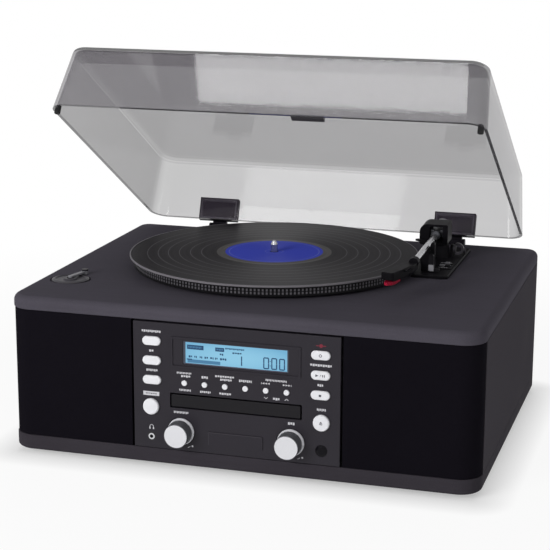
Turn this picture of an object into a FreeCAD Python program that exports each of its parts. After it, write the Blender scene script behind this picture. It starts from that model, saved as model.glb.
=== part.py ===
import FreeCAD, Part

import math
import os

# A record console: cabinet, record deck, arm, smoked lid, loudspeakers, control panel and disc tray.
# Millimetres. Origin at the middle of the footprint on the standing surface, +X right, +Y back, +Z up.
# The model is written with the lid open, the arm on its rest and the tray shut.

V = FreeCAD.Vector

# Cabinet
cabinet_width = 466.0
cabinet_depth = 365.0
cabinet_height = 155.5
foot_height = 5.0
foot_radius = 13.0
foot_inset_x = 45.0
foot_inset_y = 40.0
deck_thickness = 13.1
base_thickness = 15.0
wall_thickness = 12.0
baffle_thickness = 12.0
front_corner_radius = 22.0
back_corner_radius = 14.0
deck_edge_radius = 7.0
base_edge_radius = 3.0
board_corner_radius = 1.0
rear_panel_thickness = 4.0
rear_panel_clearance = 0.2

# Loudspeakers and their grilles
grille_recess = 0.8
grille_thickness = 6.4
grille_gap = 0.4
grille_side_gap = 2.3
grille_peg_radius = 3.0
grille_peg_length = 6.0
grille_peg_inset = 9.0
grille_peg_spacing = 92.0
baffle_gap = 0.8
speaker_side_margin = 15.5
speaker_frame_width = 4.0
speaker_frame_thickness = 2.5
speaker_depth = 46.0
magnet_radius = 34.0
magnet_thickness = 18.0
magnet_plate_step = 6.0
speaker_neck_radius = 11.0

# Control panel
panel_half_width = 102.0
panel_thickness = 3.5
panel_floor_gap = 0.6
panel_head_gap = 1.8
panel_flange = 2.5
panel_flange_depth = 8.0
panel_opening_margin = 5.0
panel_edge = 0.5
panel_design_height = 125.0
display_frame_half_width = 64.0
display_frame_height = 30.2
display_frame_proud = 0.9
display_frame_width = 2.0
display_half_width = 51.8
display_height = 22.2
display_rise = 97.6
display_clearance = 0.2
display_depth = 9.0
display_set_back = 0.7
display_flange = 2.5
display_flange_thickness = 2.0
plaque_half_width = 27.2
plaque_height = 13.4
plaque_rise = 14.8
plaque_proud = 0.8
knob_recess_depth = 1.2
knob_recess_clearance = 1.1

# Buttons: places are centres on the panel, sizes are those of the cap
button_clearance = 0.3
button_flange = 1.0
button_flange_thickness = 1.2
button_stem_radius = 1.6
oblong_width = 18.5
oblong_height = 8.8
oblong_x = 83.1
oblong_top_rise = 106.8
oblong_rise_step = 19.25
oblong_proud = 2.2
oblong_travel = 1.2
oblong_edge = 1.4
small_radius = 2.75
small_first_x = -50.4
small_pitch = 20.16
small_rise = 67.8
small_proud = 1.6
small_travel = 0.8
small_edge = 0.7
round_radius = 8.0
round_x = 84.3
round_rise = 41.6
round_proud = 3.0
round_travel = 1.2
round_edge = 1.6
switch_size = 6.0
switch_height = 3.5
switch_clearance = 0.3

# Knobs, headphone socket and remote sensor
knob_x = 54.5
knob_rise = 18.9
knob_skirt_radius = 13.2
knob_body_radius = 11.9
knob_face_radius = 11.6
knob_length = 16.0
knob_skirt_height = 3.2
knob_skirt_sunk = 0.6
knob_cavity_radius = 9.3
knob_hub_radius = 4.6
knob_shaft_radius = 3.0
knob_shaft_depth = 9.0
pot_radius = 8.0
pot_length = 7.0
pot_bore_depth = 2.3
bushing_radius = 4.5
shaft_clearance = 0.05
jack_x = 84.3
jack_rise = 11.4
jack_ring_radius = 3.2
jack_bore_radius = 1.78
jack_barrel_radius = 4.2
jack_length = 14.0
jack_proud = 0.8
sensor_x = 84.3
sensor_rise = 13.9
sensor_radius = 5.8
sensor_proud = 1.6

# Disc tray and its loader
tray_opening_half_width = 65.3
tray_opening_height = 14.9
tray_rise = 49.55
tray_door_gap = 1.5
tray_door_thickness = 3.4
tray_door_proud = 0.4
tray_half_width = 63.2
tray_length = 160.0
tray_height = 7.6
tray_top_drop = 3.8
tray_travel = 135.0
tray_floor = 2.6
tray_rail = 4.2
tray_corner = 3.0
disc_radius = 60.0
disc_recess_clearance = 0.9
disc_recess_depth = 2.2
disc_from_front = 62.5
small_disc_radius = 40.0
small_disc_recess_depth = 0.8
tray_slot_half_width = 20.0
chassis_side_clearance = 0.5
chassis_wall = 3.0
chassis_floor = 2.0
chassis_ledge = 3.2
chassis_ledge_thickness = 2.0
chassis_gap = 0.3
chassis_drop = 7.0
chassis_bridge_width = 21.0
chassis_post_radius = 4.0
clamp_radius = 17.0
gear_module = 1.0
gear_teeth = 14
gear_thickness = 2.2
gear_from_tray_front = 19.3
tooth_share = 0.40
rack_margin = 12.0
rack_spare_teeth = 2
loader_shaft_radius = 1.5
hub_radius = 14.5
hub_nose_radius = 7.3
hub_nose_height = 3.2
hub_tip_radius = 3.2
hub_thickness = 2.0
hub_motor_radius = 12.0
hub_motor_height = 6.0
sled_half_width = 19.0
sled_length = 22.0
sled_height = 5.5
sled_from_hub = 18.0
sled_travel = 35.0
sled_rod_x = 16.0
lens_radius = 4.0
lens_height = 2.2

# Record deck: platter, spindle, record, motor and belt
spindle_x = -21.8
spindle_y = 17.6
platter_radius = 146.0
platter_lift = 2.5
platter_height = 10.2
platter_top_thickness = 3.2
platter_rim_thickness = 7.0
strobe_band_depth = 1.2
strobe_band_low = 1.5
strobe_band_height = 6.5
drive_ring_radius = 64.0
drive_ring_thickness = 4.0
platter_hub_radius = 13.0
platter_rib_count = 8
platter_rib_thickness = 2.0
record_radius = 150.5
record_thickness = 1.8
record_hole_clearance = 0.07
label_radius = 51.0
label_rise = 0.3
record_bead = 0.2
record_bead_width = 3.5
spindle_radius = 3.55
spindle_seat_radius = 4.2
spindle_undercut = 0.4
spindle_taper_height = 4.0
spindle_tip_radius = 1.8
spindle_above_record = 12.0
spindle_shaft_radius = 3.0
bearing_radius = 8.0
bearing_depth = 32.0
bearing_floor = 2.0
bearing_gap = 0.6
deck_hole_clearance = 1.5
motor_distance = 95.0
motor_angle = 135.0
motor_radius = 17.5
motor_height = 31.0
motor_boss_radius = 5.0
motor_shaft_radius = 1.2
pulley_radius = 5.0
pulley_height = 4.7
belt_height = 3.5
belt_thickness = 0.8
belt_clearance = 0.1
chassis_plate_thickness = 2.0
chassis_plate_margin = 26.0

# Tonearm, in a frame with the pivot at the origin and the arm along -Y
arm_from_platter = 11.2
arm_behind_spindle = 81.9
arm_rest_angle = 1.8
arm_above_record = 14.0
arm_tube_radius = 3.0
arm_tube_bore = 2.3
arm_tube_front = 145.0
arm_tube_back = 30.0
housing_left = 17.5
housing_right = 12.5
housing_front = 13.0
housing_back = 15.0
housing_above = 11.0
housing_below = 11.0
housing_slot_half_width = 7.0
housing_slot_above = 8.5
housing_slot_below = 8.5
housing_round = 8.5
housing_edge = 2.2
pivot_block_half_width = 6.5
pivot_block_half_length = 7.0
pivot_block_half_height = 4.5
pivot_pin_radius = 1.5
pivot_pin_half_length = 10.5
neck_radius = 4.8
neck_front = 17.0
counterweight_radius = 9.0
counterweight_start = 18.0
counterweight_length = 14.0
swing_shaft_radius = 4.0
swing_shaft_length = 13.0
column_radius = 12.0
column_gap = 0.4
headshell_offset_angle = 18.0
headshell_length = 56.0
headshell_half_width = 6.8
headshell_rear_half_width = 4.0
headshell_taper_length = 14.0
headshell_above = 0.5
headshell_below = 6.5
headshell_wall = 1.4
headshell_collar_radius = 4.8
headshell_collar_length = 9.0
finger_lift_reach = 7.5
finger_lift_from_end = 23.0
finger_lift_width = 4.5
finger_lift_thickness = 1.3
cartridge_half_width = 5.2
cartridge_length = 32.0
cartridge_from_end = 1.0
cartridge_height = 8.0
stylus_half_width = 4.2
stylus_nose_half_width = 1.6
stylus_length = 22.0
stylus_height = 3.6
stylus_tip_from_joint = 50.0
stylus_tip_above_record = 0.8
stylus_tip_radius = 0.5

# Arm base with its rest, cueing gear and switches
arm_base_to_left = 17.4
arm_base_to_right = 28.1
arm_base_to_front = 92.0
arm_base_to_back = 48.0
arm_base_thickness = 3.0
arm_base_corner = 6.0
arm_base_bevel = 1.0
arm_base_platter_gap = 2.5
arm_well_margin = 6.0
arm_well_wall = 2.0
arm_well_depth = 10.0
arm_well_clearance = 0.5
rest_distance = 70.0
rest_thickness = 7.0
rest_left = 4.8
rest_right = 8.6
rest_gap = 1.5
rest_horn_width = 4.0
rest_horn_height = 9.0
clip_thickness = 4.0
clip_gap = 0.4
clip_width = 5.0
clip_length = 15.0
clip_hook = 6.0
clip_hook_thickness = 2.5
clip_pin_radius = 1.5
clip_pin_length = 4.5
clip_from_arm = 6.2
clip_below_arm = 9.0
cue_radius = 26.0
cue_width = 4.0
cue_thickness = 2.0
cue_left_angle = 46.0
cue_right_angle = 8.0
cue_post_angle = 20.0
cue_post_radius = 2.0
cue_boss_radius = 4.5
cue_boss_height = 8.5
cue_post_length = 16.8
cue_travel = 4.0
cue_gap = 1.2
lever_right_of_pivot = 13.6
lever_behind_pivot = 5.5
lever_above_base = 8.0
lever_lug_thickness = 2.4
lever_lug_half_length = 6.0
lever_hub_radius = 4.2
lever_hub_thickness = 2.6
lever_bulge = 9.0
lever_half_height = 5.6
lever_fin_thickness = 3.4
lever_fin_width = 2.6
lever_pin_radius = 1.5
lever_pad_radius = 2.8
lever_pad_length = 3.0
lever_pad_right_of_pivot = 25.6
lever_pad_behind_pivot = 17.5
lever_pad_above_base = 3.6
lever_rod_radius = 1.1
switch_pad_right_of_pivot = 7.6
switch_pad_width = 18.0
switch_pad_before_pivot = 59.5
switch_pad_depth = 31.0
switch_pad_height = 0.7
slider_slot_length = 15.0
slider_slot_width = 3.0
slider_right_of_pivot = 16.6
autostop_before_pivot = 49.7
autostop_offset = -2.0
speed_before_pivot = 38.3
speed_offset = 2.0
slider_length = 5.0
slider_width = 4.4
slider_height = 1.8
slider_gap = 0.3
slider_stem = 3.0
slider_stem_width = 2.4
slider_stem_depth = 5.5

# Adapter for large-hole records, in its dish, and the lever that keeps it there
adapter_from_side = 33.3
adapter_from_front = 78.6
adapter_radius = 19.0
adapter_thickness = 3.6
adapter_hole_radius = 3.65
dish_clearance = 1.6
dish_depth = 2.0
lever_post_distance = 24.6
lever_post_angle = 77.0
lever_post_radius = 3.4
lever_post_height = 5.5
lever_bar_width = 4.5
lever_bar_thickness = 1.6
lever_bar_overshoot = 2.5
lever_foot_radius = 1.5
lever_foot_depth = 6.0
lever_gap = 0.4

# Lid and hinges, measured with the lid shut
lid_front_margin = 21.9
lid_side_margin = 16.6
lid_height = 67.6
lid_side_draft = 6.0
lid_front_draft = 9.65
lid_back_draft = 12.8
lid_wall = 3.0
lid_corner_radius = 18.0
lid_top_edge_radius = 5.0
lid_gap_to_deck = 4.7
lid_back_margin = 8.3
lid_open_angle = 30.1
tab_x = 47.5
tab_half_width = 16.0
tab_depth = 9.5
tab_drop = 2.1
tab_height = 2.5
bumper_radius = 3.0
bumper_length = 8.6
bumper_gap = 0.3
bumper_side_inset = 6.0
bumper_front_inset = 13.6
hinge_x = 138.0
hinge_pivot_behind = 2.5
hinge_pivot_above = 0.1
hinge_pin_radius = 1.6
hinge_knuckle_radius = 4.0
hinge_ear_radius = 4.2
hinge_knuckle_half_width = 8.2
hinge_ear_gap = 0.5
hinge_ear_thickness = 3.0
hinge_notch_half_width = 13.0
hinge_notch_depth = 11.0
hinge_bracket_depth = 10.5
hinge_bracket_wall = 2.5
hinge_bracket_drop = 1.0
hinge_leg_thickness = 5.0
hinge_leg_half_width = 8.0
hinge_leg_height = 30.0
socket_half_width = 23.0
socket_height = 25.0
socket_thickness = 7.0
socket_frame = 3.2
socket_recess = 2.0

# Back of the cabinet and the boards inside
vent_count = 14
vent_width = 3.0
vent_height = 26.0
vent_pitch = 8.0
vent_x = -40.0
vent_z = 118.0
phono_socket_x = 96.0
phono_socket_z = 58.0
phono_socket_pitch = 18.0
phono_socket_radius = 4.15
phono_socket_bore = 1.7
phono_socket_length = 8.0
phono_plate_half = 22.0
phono_plate_thickness = 1.2
inlet_x = -150.0
inlet_z = 52.0
inlet_width = 26.0
inlet_height = 18.0
inlet_depth = 20.0
inlet_wall = 2.5
inlet_pin_radius = 1.2
inlet_pin_spacing = 8.6
inlet_pin_length = 11.0
board_thickness = 1.6
front_board_back = 13.5
main_board_left = -110.0
main_board_right = 150.0
main_board_front = 22.0
main_board_back = 160.0
main_board_lift = 12.0
board_post_radius = 3.0
board_post_inset = 8.0
transformer_inset = 12.0
transformer_width = 50.0
transformer_front = 105.0
transformer_depth = 45.0
transformer_height = 38.0
heat_sink_x = 40.0
heat_sink_thickness = 6.0
heat_sink_front = 60.0
heat_sink_length = 80.0
heat_sink_height = 30.0
capacitor_count = 4
capacitor_radius = 6.0
capacitor_height = 22.0
capacitor_first_x = -20.0
capacitor_pitch = 16.0
capacitor_y = 135.0

# Places worked out from the sizes above
front_y = -cabinet_depth / 2
back_y = cabinet_depth / 2
half_width = cabinet_width / 2
deck_top = foot_height + cabinet_height
deck_bottom = deck_top - deck_thickness
base_top = foot_height + base_thickness
grille_end_y = front_y + front_corner_radius
grille_back = grille_recess + grille_thickness
baffle_front = front_y + grille_back + baffle_gap
baffle_back = baffle_front + baffle_thickness
panel_back = front_y + panel_thickness
panel_low = base_top + panel_floor_gap
panel_high = deck_bottom - panel_head_gap
flange_back = baffle_front
speaker_z = (base_top + deck_bottom) / 2
platter_low = deck_top + platter_lift
platter_top = platter_low + platter_height
record_top = platter_top + record_thickness
arm_z = record_top + arm_above_record
arm_base_top = deck_top + arm_base_thickness
panel_stretch = (panel_high - panel_low) / panel_design_height
display_z = panel_low + display_rise * panel_stretch
plaque_z = panel_low + plaque_rise * panel_stretch
oblong_top_z = panel_low + oblong_top_rise * panel_stretch
oblong_pitch = oblong_rise_step * panel_stretch
small_z = panel_low + small_rise * panel_stretch
round_z = panel_low + round_rise * panel_stretch
knob_z = panel_low + knob_rise * panel_stretch
jack_z = panel_low + jack_rise * panel_stretch
sensor_z = panel_low + sensor_rise * panel_stretch
tray_z = panel_low + tray_rise * panel_stretch
speaker_x = (panel_half_width + half_width) / 2
speaker_frame_radius = (half_width - panel_half_width) / 2 - speaker_side_margin
speaker_hole_radius = speaker_frame_radius - speaker_frame_width
adapter_x = adapter_from_side - half_width
adapter_y = front_y + adapter_from_front
pivot_x = spindle_x + platter_radius + arm_from_platter
pivot_y = spindle_y + arm_behind_spindle
arm_base_left = pivot_x - arm_base_to_left
arm_base_right = pivot_x + arm_base_to_right
arm_base_front = pivot_y - arm_base_to_front
arm_base_back = pivot_y + arm_base_to_back
lever_x = pivot_x + lever_right_of_pivot
lever_y = pivot_y + lever_behind_pivot
lever_pad_x = pivot_x + lever_pad_right_of_pivot
lever_pad_y = pivot_y + lever_pad_behind_pivot
switch_pad_left = pivot_x + switch_pad_right_of_pivot
switch_pad_front = pivot_y - switch_pad_before_pivot
slider_x = pivot_x + slider_right_of_pivot
autostop_y = pivot_y - autostop_before_pivot
speed_y = pivot_y - speed_before_pivot
tray_front = front_y - tray_door_proud + tray_door_thickness
tray_top = tray_z + tray_opening_height / 2 - tray_top_drop
tray_bottom = tray_top - tray_height
disc_y = tray_front + disc_from_front
tray_underside = tray_top - disc_recess_depth - tray_floor
chassis_floor_top = tray_bottom - chassis_drop
gear_pitch_radius = gear_module * gear_teeth / 2
rack_root_x = tray_half_width - tray_rail
rack_pitch_x = rack_root_x - 1.1 * gear_module
gear_x = rack_pitch_x - gear_pitch_radius
gear_y = tray_front + gear_from_tray_front
front_board_y = front_y + front_board_back
hinge_pivot_y = back_y + hinge_pivot_behind
hinge_pivot_z = deck_top + hinge_pivot_above
lid_rim_z = deck_top + lid_gap_to_deck
lid_back_y = back_y - lid_back_margin
lid_front_y = front_y + lid_front_margin
lid_half_width = half_width - lid_side_margin
motor_x = spindle_x + motor_distance * math.cos(math.radians(motor_angle))
motor_y = spindle_y + motor_distance * math.sin(math.radians(motor_angle))
button_flange_front = panel_back + 0.1


# Basic shapes
def block(x0, x1, y0, y1, z0, z1):
    return Part.makeBox(x1 - x0, y1 - y0, z1 - z0, V(x0, y0, z0))


def rod(radius, start, direction, length):
    return Part.makeCylinder(radius, length, start, direction)


def flat(z):
    return lambda u, v: V(u, v, z)


def upright(y):
    return lambda u, v: V(u, y, v)


def sideways(x):
    return lambda u, v: V(x, u, v)


def rectangle(u0, u1, v0, v1, radius=0.0):
    return [(u0, v0, radius), (u1, v0, radius), (u1, v1, radius), (u0, v1, radius)]


def rounded_wire(corners, place):
    """A closed wire through corners (u, v, radius), each corner turned by a tangent arc."""
    stretches = []
    for index, (u, v, radius) in enumerate(corners):
        here = V(u, v, 0)
        before = V(corners[index - 1][0], corners[index - 1][1], 0)
        after_index = (index + 1) % len(corners)
        after = V(corners[after_index][0], corners[after_index][1], 0)
        back = (before - here).normalize()
        ahead = (after - here).normalize()
        half = back.getAngle(ahead) / 2
        setback = radius / math.tan(half)
        middle = (back + ahead)
        if radius > 0:
            middle.normalize()
            middle = here + middle * (radius / math.sin(half) - radius)
        stretches.append((here + back * setback, middle, here + ahead * setback, radius))
    edges = []
    for index, (start, middle, end, radius) in enumerate(stretches):
        if radius > 0:
            points = [place(p.x, p.y) for p in (start, middle, end)]
            edges.append(Part.Arc(*points).toShape())
        following = stretches[(index + 1) % len(stretches)][0]
        if (following - end).Length > 1e-6:
            edges.append(Part.LineSegment(place(end.x, end.y), place(following.x, following.y)).toShape())
    return Part.Wire(Part.__sortEdges__(edges))


def flat_prism(corners, z0, z1):
    return Part.Face(rounded_wire(corners, flat(z0))).extrude(V(0, 0, z1 - z0))


def upright_prism(corners, y0, y1):
    return Part.Face(rounded_wire(corners, upright(y0))).extrude(V(0, y1 - y0, 0))


def side_prism(corners, x0, x1):
    return Part.Face(rounded_wire(corners, sideways(x0))).extrude(V(x1 - x0, 0, 0))


def turned(profile, centre, direction=V(0, 0, 1)):
    """A solid of revolution from corners (radius, height, rounding), its axis along direction."""
    face = Part.Face(rounded_wire(profile, lambda u, v: V(u, 0, v)))
    solid = face.revolve(V(0, 0, 0), V(0, 0, 1), 360)
    placement = FreeCAD.Placement(centre, FreeCAD.Rotation(V(0, 0, 1), direction))
    return solid.transformed(placement.toMatrix())


def slot_corners(u, v, width, height):
    """An oblong with fully rounded ends."""
    radius = height / 2 - 0.001
    return rectangle(u - width / 2, u + width / 2, v - height / 2, v + height / 2, radius)


def round_edges(shape, radius, chosen):
    edges = [edge for edge in shape.Edges if chosen(edge.CenterOfMass)]
    return shape.makeFillet(radius, edges)


def at_height(z):
    return lambda centre: abs(centre.z - z) < 0.01


def in_plane_y(y):
    return lambda centre: abs(centre.y - y) < 0.01


def mirrored(shape):
    return shape.mirror(V(0, 0, 0), V(1, 0, 0))


def turn(shape, centre, axis, angle):
    copy = shape.copy()
    copy.rotate(centre, axis, angle)
    return copy


def fused(shapes):
    return shapes[0].multiFuse(shapes[1:]).removeSplitter()


# Cabinet
def cabinet_prism(inset, z0, z1):
    corners = rectangle(-half_width + inset, half_width - inset, front_y + inset, back_y - inset)
    radii = [front_corner_radius, front_corner_radius, back_corner_radius, back_corner_radius]
    corners = [(u, v, max(r - inset, 0.5)) for (u, v, _), r in zip(corners, radii)]
    return flat_prism(corners, z0, z1)


def top_deck():
    deck = cabinet_prism(0, deck_bottom, deck_top)
    deck = round_edges(deck, deck_edge_radius, at_height(deck_top))
    deck = round_edges(deck, board_corner_radius, at_height(deck_bottom))
    low = deck_bottom - 1
    through = deck_thickness + 2
    up = V(0, 0, 1)
    cuts = [
        rod(bearing_radius + deck_hole_clearance, V(spindle_x, spindle_y, low), up, through),
        rod(motor_boss_radius + deck_hole_clearance, V(motor_x, motor_y, low), up, through),
        arm_well_prism(0, low, deck_top + 1),
        rod(adapter_radius + dish_clearance, V(adapter_x, adapter_y, deck_top - dish_depth), up,
            dish_depth + 1),
        rod(lever_foot_radius + shaft_clearance, adapter_post() - up * (lever_foot_depth + 1), up, through),
    ]
    for side in (-1, 1):
        x = side * hinge_x
        cuts.append(
            block(x - hinge_notch_half_width, x + hinge_notch_half_width,
                  back_y - hinge_notch_depth, back_y + 1, low, deck_top + 1)
        )
    return deck.cut(cuts)


def base_board():
    board = cabinet_prism(0, foot_height, base_top)
    board = round_edges(board, base_edge_radius, at_height(foot_height))
    return round_edges(board, board_corner_radius, at_height(base_top))


def feet():
    profile = [
        (2.5, 0, 0), (foot_radius - 1.5, 0, 0.8), (foot_radius, foot_height, 0), (0, foot_height, 0),
        (0, 2, 0), (2.5, 2, 0),
    ]
    places = [
        (sx * (half_width - foot_inset_x), sy * (back_y - foot_inset_y)) for sx in (-1, 1) for sy in (-1, 1)
    ]
    return [turned(profile, V(x, y, 0)) for x, y in places]


def peg_places():
    """Where each grille's pegs enter the baffle, for the right-hand side."""
    inner = panel_half_width + grille_side_gap + grille_peg_inset
    return [
        (x, speaker_z + sz * grille_peg_spacing / 2)
        for x in (inner, half_width - front_corner_radius - grille_peg_inset) for sz in (-1, 1)
    ]


def cabinet_carcass():
    """Side walls and front baffle, glued up as one piece and wrapped like the boards."""
    walls = cabinet_prism(0, base_top, deck_bottom)
    inside = half_width - wall_thickness
    walls = walls.cut(block(-inside, inside, baffle_back, back_y + 1, base_top - 1, deck_bottom + 1))
    rim = cabinet_prism(0, base_top - 1, deck_bottom + 1)
    rim = rim.cut(cabinet_prism(grille_back + baffle_gap, base_top - 2, deck_bottom + 2))
    rim = rim.common(block(-half_width, half_width, front_y, grille_end_y, base_top - 1, deck_bottom + 1))
    walls = walls.cut(rim)
    back = V(0, 1, 0)
    depth = baffle_thickness + 2
    opening = panel_half_width - panel_opening_margin
    cuts = [block(-opening, opening, baffle_front - 1, baffle_back + 1,
                  panel_low + panel_opening_margin, panel_high - panel_opening_margin)]
    for side in (-1, 1):
        cuts.append(rod(speaker_hole_radius, V(side * speaker_x, baffle_front - 1, speaker_z), back, depth))
        for x, z in peg_places():
            cuts.append(rod(grille_peg_radius + 0.1, V(side * x, baffle_front - 1, z), back, depth))
    return walls.cut(cuts)


def rear_panel():
    inside = half_width - wall_thickness - rear_panel_clearance
    y0 = back_y - rear_panel_thickness
    plate = block(-inside, inside, y0, back_y, base_top, deck_bottom)
    cuts = []
    for index in range(vent_count):
        x = vent_x + (index - (vent_count - 1) / 2) * vent_pitch
        corners = rectangle(x - vent_width / 2, x + vent_width / 2, vent_z - vent_height / 2,
                            vent_z + vent_height / 2, vent_width / 2 - 0.001)
        cuts.append(upright_prism(corners, y0 - 1, back_y + 1))
    for x, z in phono_places():
        cuts.append(rod(phono_socket_radius + 0.2, V(x, y0 - 1, z), V(0, 1, 0), rear_panel_thickness + 2))
    cuts.append(upright_prism(inlet_corners(0.0), y0 - 1, back_y + 1))
    return plate.cut(cuts)


def phono_places():
    return [
        (phono_socket_x + sx * phono_socket_pitch / 2, phono_socket_z + sz * phono_socket_pitch / 2)
        for sx in (-1, 1) for sz in (-1, 1)
    ]


def inlet_corners(inset):
    return rectangle(
        inlet_x - inlet_width / 2 + inset, inlet_x + inlet_width / 2 - inset,
        inlet_z - inlet_height / 2 + inset, inlet_z + inlet_height / 2 - inset, 4.0 - inset / 2,
    )


def rear_sockets():
    """Four phono sockets on their plate and a two-pin mains inlet."""
    inner = back_y - rear_panel_thickness
    back = V(0, 1, 0)
    half = phono_plate_half
    plate = block(phono_socket_x - half, phono_socket_x + half, inner - phono_plate_thickness, inner,
                  phono_socket_z - half, phono_socket_z + half)
    length = rear_panel_thickness + phono_socket_length
    barrels = [rod(phono_socket_radius, V(x, inner - 0.5, z), back, length + 0.5) for x, z in phono_places()]
    bores = [rod(phono_socket_bore, V(x, inner + 1, z), back, length) for x, z in phono_places()]
    phono = fused([plate] + barrels).cut(bores)
    shell = upright_prism(inlet_corners(0.0), back_y - inlet_depth, back_y)
    shell = shell.cut(upright_prism(inlet_corners(inlet_wall), back_y - inlet_depth + inlet_wall, back_y + 1))
    pins = [
        rod(inlet_pin_radius, V(inlet_x + side * inlet_pin_spacing / 2, back_y - inlet_depth, inlet_z), back,
            inlet_wall + inlet_pin_length)
        for side in (-1, 1)
    ]
    return [phono, fused([shell] + pins)]


# Loudspeakers
def speaker_grilles():
    low = base_top + grille_gap
    high = deck_bottom - grille_gap
    ring = cabinet_prism(grille_recess, low, high).cut(cabinet_prism(grille_back, low - 1, high + 1))
    inner = panel_half_width + grille_side_gap
    part = ring.common(block(inner, half_width, front_y, grille_end_y - grille_gap, low - 1, high + 1))
    y = front_y + grille_back
    pegs = [rod(grille_peg_radius, V(x, y - 0.5, z), V(0, 1, 0), grille_peg_length) for x, z in peg_places()]
    right = fused([part] + pegs)
    return [mirrored(right), right]


def speakers():
    """Each driver is turned about its own axis: frame, basket, magnet, and a cone with its dust cap."""
    frame = speaker_frame_radius
    basket_end = speaker_depth - magnet_thickness
    profile = [
        (0, basket_end - 5, 0), (speaker_neck_radius, basket_end - 3, 0), (speaker_hole_radius - 6, 4, 0),
        (speaker_hole_radius - 2, 1, 0), (speaker_hole_radius, 0, 0), (frame, 0, 0),
        (frame, speaker_frame_thickness, 0), (speaker_hole_radius, speaker_frame_thickness, 0),
        (magnet_radius - magnet_plate_step, basket_end, 0), (magnet_radius, basket_end, 0),
        (magnet_radius, speaker_depth, 2), (0, speaker_depth, 0),
    ]
    back = V(0, 1, 0)
    return [turned(profile, V(side * speaker_x, baffle_back, speaker_z), back) for side in (-1, 1)]


# Control panel
def oblong_places():
    heights = [oblong_top_z - index * oblong_pitch for index in range(3)]
    return [(side * oblong_x, z) for side in (-1, 1) for z in heights]


def small_places():
    return [(small_first_x + index * small_pitch, small_z) for index in range(6)]


def round_places():
    return [(side * round_x, round_z) for side in (-1, 1)]


def knob_places():
    return [(side * knob_x, knob_z) for side in (-1, 1)]


def display_corners(margin, radius=1.0):
    half_height = display_height / 2
    return rectangle(
        -display_half_width - margin, display_half_width + margin,
        display_z - half_height - margin, display_z + half_height + margin, radius,
    )


def frame_corners(inset):
    half_height = display_frame_height / 2
    return rectangle(
        -display_frame_half_width + inset, display_frame_half_width - inset,
        display_z - half_height + inset, display_z + half_height - inset, 1.0,
    )


def tray_opening_corners(gap):
    half_height = tray_opening_height / 2
    return rectangle(
        -tray_opening_half_width + gap, tray_opening_half_width - gap,
        tray_z - half_height + gap, tray_z + half_height - gap, 0.8,
    )


def front_panel():
    width = panel_half_width
    body = block(-width, width, front_y, flange_back, panel_low, panel_high)
    body = round_edges(body, panel_edge, in_plane_y(front_y))
    inner = width - panel_flange
    body = body.cut(block(-inner, inner, panel_back, flange_back + 1, panel_low + panel_flange,
                          panel_high - panel_flange))
    frame = upright_prism(frame_corners(0), front_y - display_frame_proud, panel_back)
    frame = frame.cut(upright_prism(frame_corners(display_frame_width), front_y - display_frame_proud - 1,
                                    front_y))
    plaque = upright_prism(
        rectangle(-plaque_half_width, plaque_half_width, plaque_z - plaque_height / 2,
                  plaque_z + plaque_height / 2, 1.0), front_y - plaque_proud, panel_back)
    body = fused([body, frame, plaque])
    start = front_y - 2
    back = V(0, 1, 0)
    depth = panel_thickness + 4
    gap = button_clearance
    cuts = [
        upright_prism(display_corners(display_clearance), start, start + depth),
        upright_prism(tray_opening_corners(0), start, start + depth),
    ]
    for x, z in oblong_places():
        cuts.append(upright_prism(slot_corners(x, z, oblong_width + 2 * gap, oblong_height + 2 * gap), start,
                                  start + depth))
    for x, z in small_places():
        cuts.append(rod(small_radius + gap, V(x, start, z), back, depth))
    for x, z in round_places():
        cuts.append(rod(round_radius + gap, V(x, start, z), back, depth))
    for x, z in knob_places():
        cuts.append(rod(bushing_radius + 0.3, V(x, start, z), back, depth))
        recess_radius = knob_skirt_radius + knob_recess_clearance
        cuts.append(rod(recess_radius, V(x, start, z), back, 2 + knob_recess_depth))
    cuts.append(rod(jack_ring_radius + 0.1, V(-jack_x, start, jack_z), back, depth))
    cuts.append(rod(sensor_radius + 0.1, V(sensor_x, start, sensor_z), back, depth))
    return body.cut(cuts)


def lcd_display():
    """The display module: its window fills the opening and its flange bears on the panel's back."""
    window = upright_prism(display_corners(0), front_y + display_set_back, panel_back)
    flange = upright_prism(display_corners(display_flange), panel_back, panel_back + display_flange_thickness)
    body = upright_prism(display_corners(0), panel_back + display_flange_thickness, front_y + display_depth)
    return fused([window, flange, body])


def button_from(outline, flange_outline, proud, edge, x, z, travel):
    """A cap with rounded front edge, a flange behind the panel and a stem to its switch."""
    cap_front = front_y - proud
    flange_back_y = button_flange_front + button_flange_thickness
    cap = upright_prism(outline, cap_front, flange_back_y)
    cap = round_edges(cap, edge, in_plane_y(cap_front))
    flange = upright_prism(flange_outline, button_flange_front, flange_back_y)
    stem_end = front_board_y - switch_height - switch_clearance - travel
    stem = rod(button_stem_radius, V(x, flange_back_y - 0.5, z), V(0, 1, 0), stem_end - flange_back_y + 0.5)
    return fused([cap, flange, stem])


def oblong_button(x, z):
    flange = slot_corners(x, z, oblong_width + 2 * button_flange, oblong_height + 2 * button_flange)
    cap = slot_corners(x, z, oblong_width, oblong_height)
    return button_from(cap, flange, oblong_proud, oblong_edge, x, z, oblong_travel)


def round_button(x, z, radius, proud, edge, travel):
    """A round cap is turned, with the same flange and stem."""
    flange_back_y = button_flange_front + button_flange_thickness
    stem_end = front_board_y - switch_height - switch_clearance - travel
    h = [front_y - proud, button_flange_front, flange_back_y, stem_end]
    h = [value - h[0] for value in h]
    flange = radius + button_flange
    profile = [
        (0, 0, 0), (radius, 0, edge), (radius, h[1], 0), (flange, h[1], 0), (flange, h[2], 0),
        (button_stem_radius, h[2], 0), (button_stem_radius, h[3], 0), (0, h[3], 0),
    ]
    return turned(profile, V(x, front_y - proud, z), V(0, 1, 0))


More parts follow.
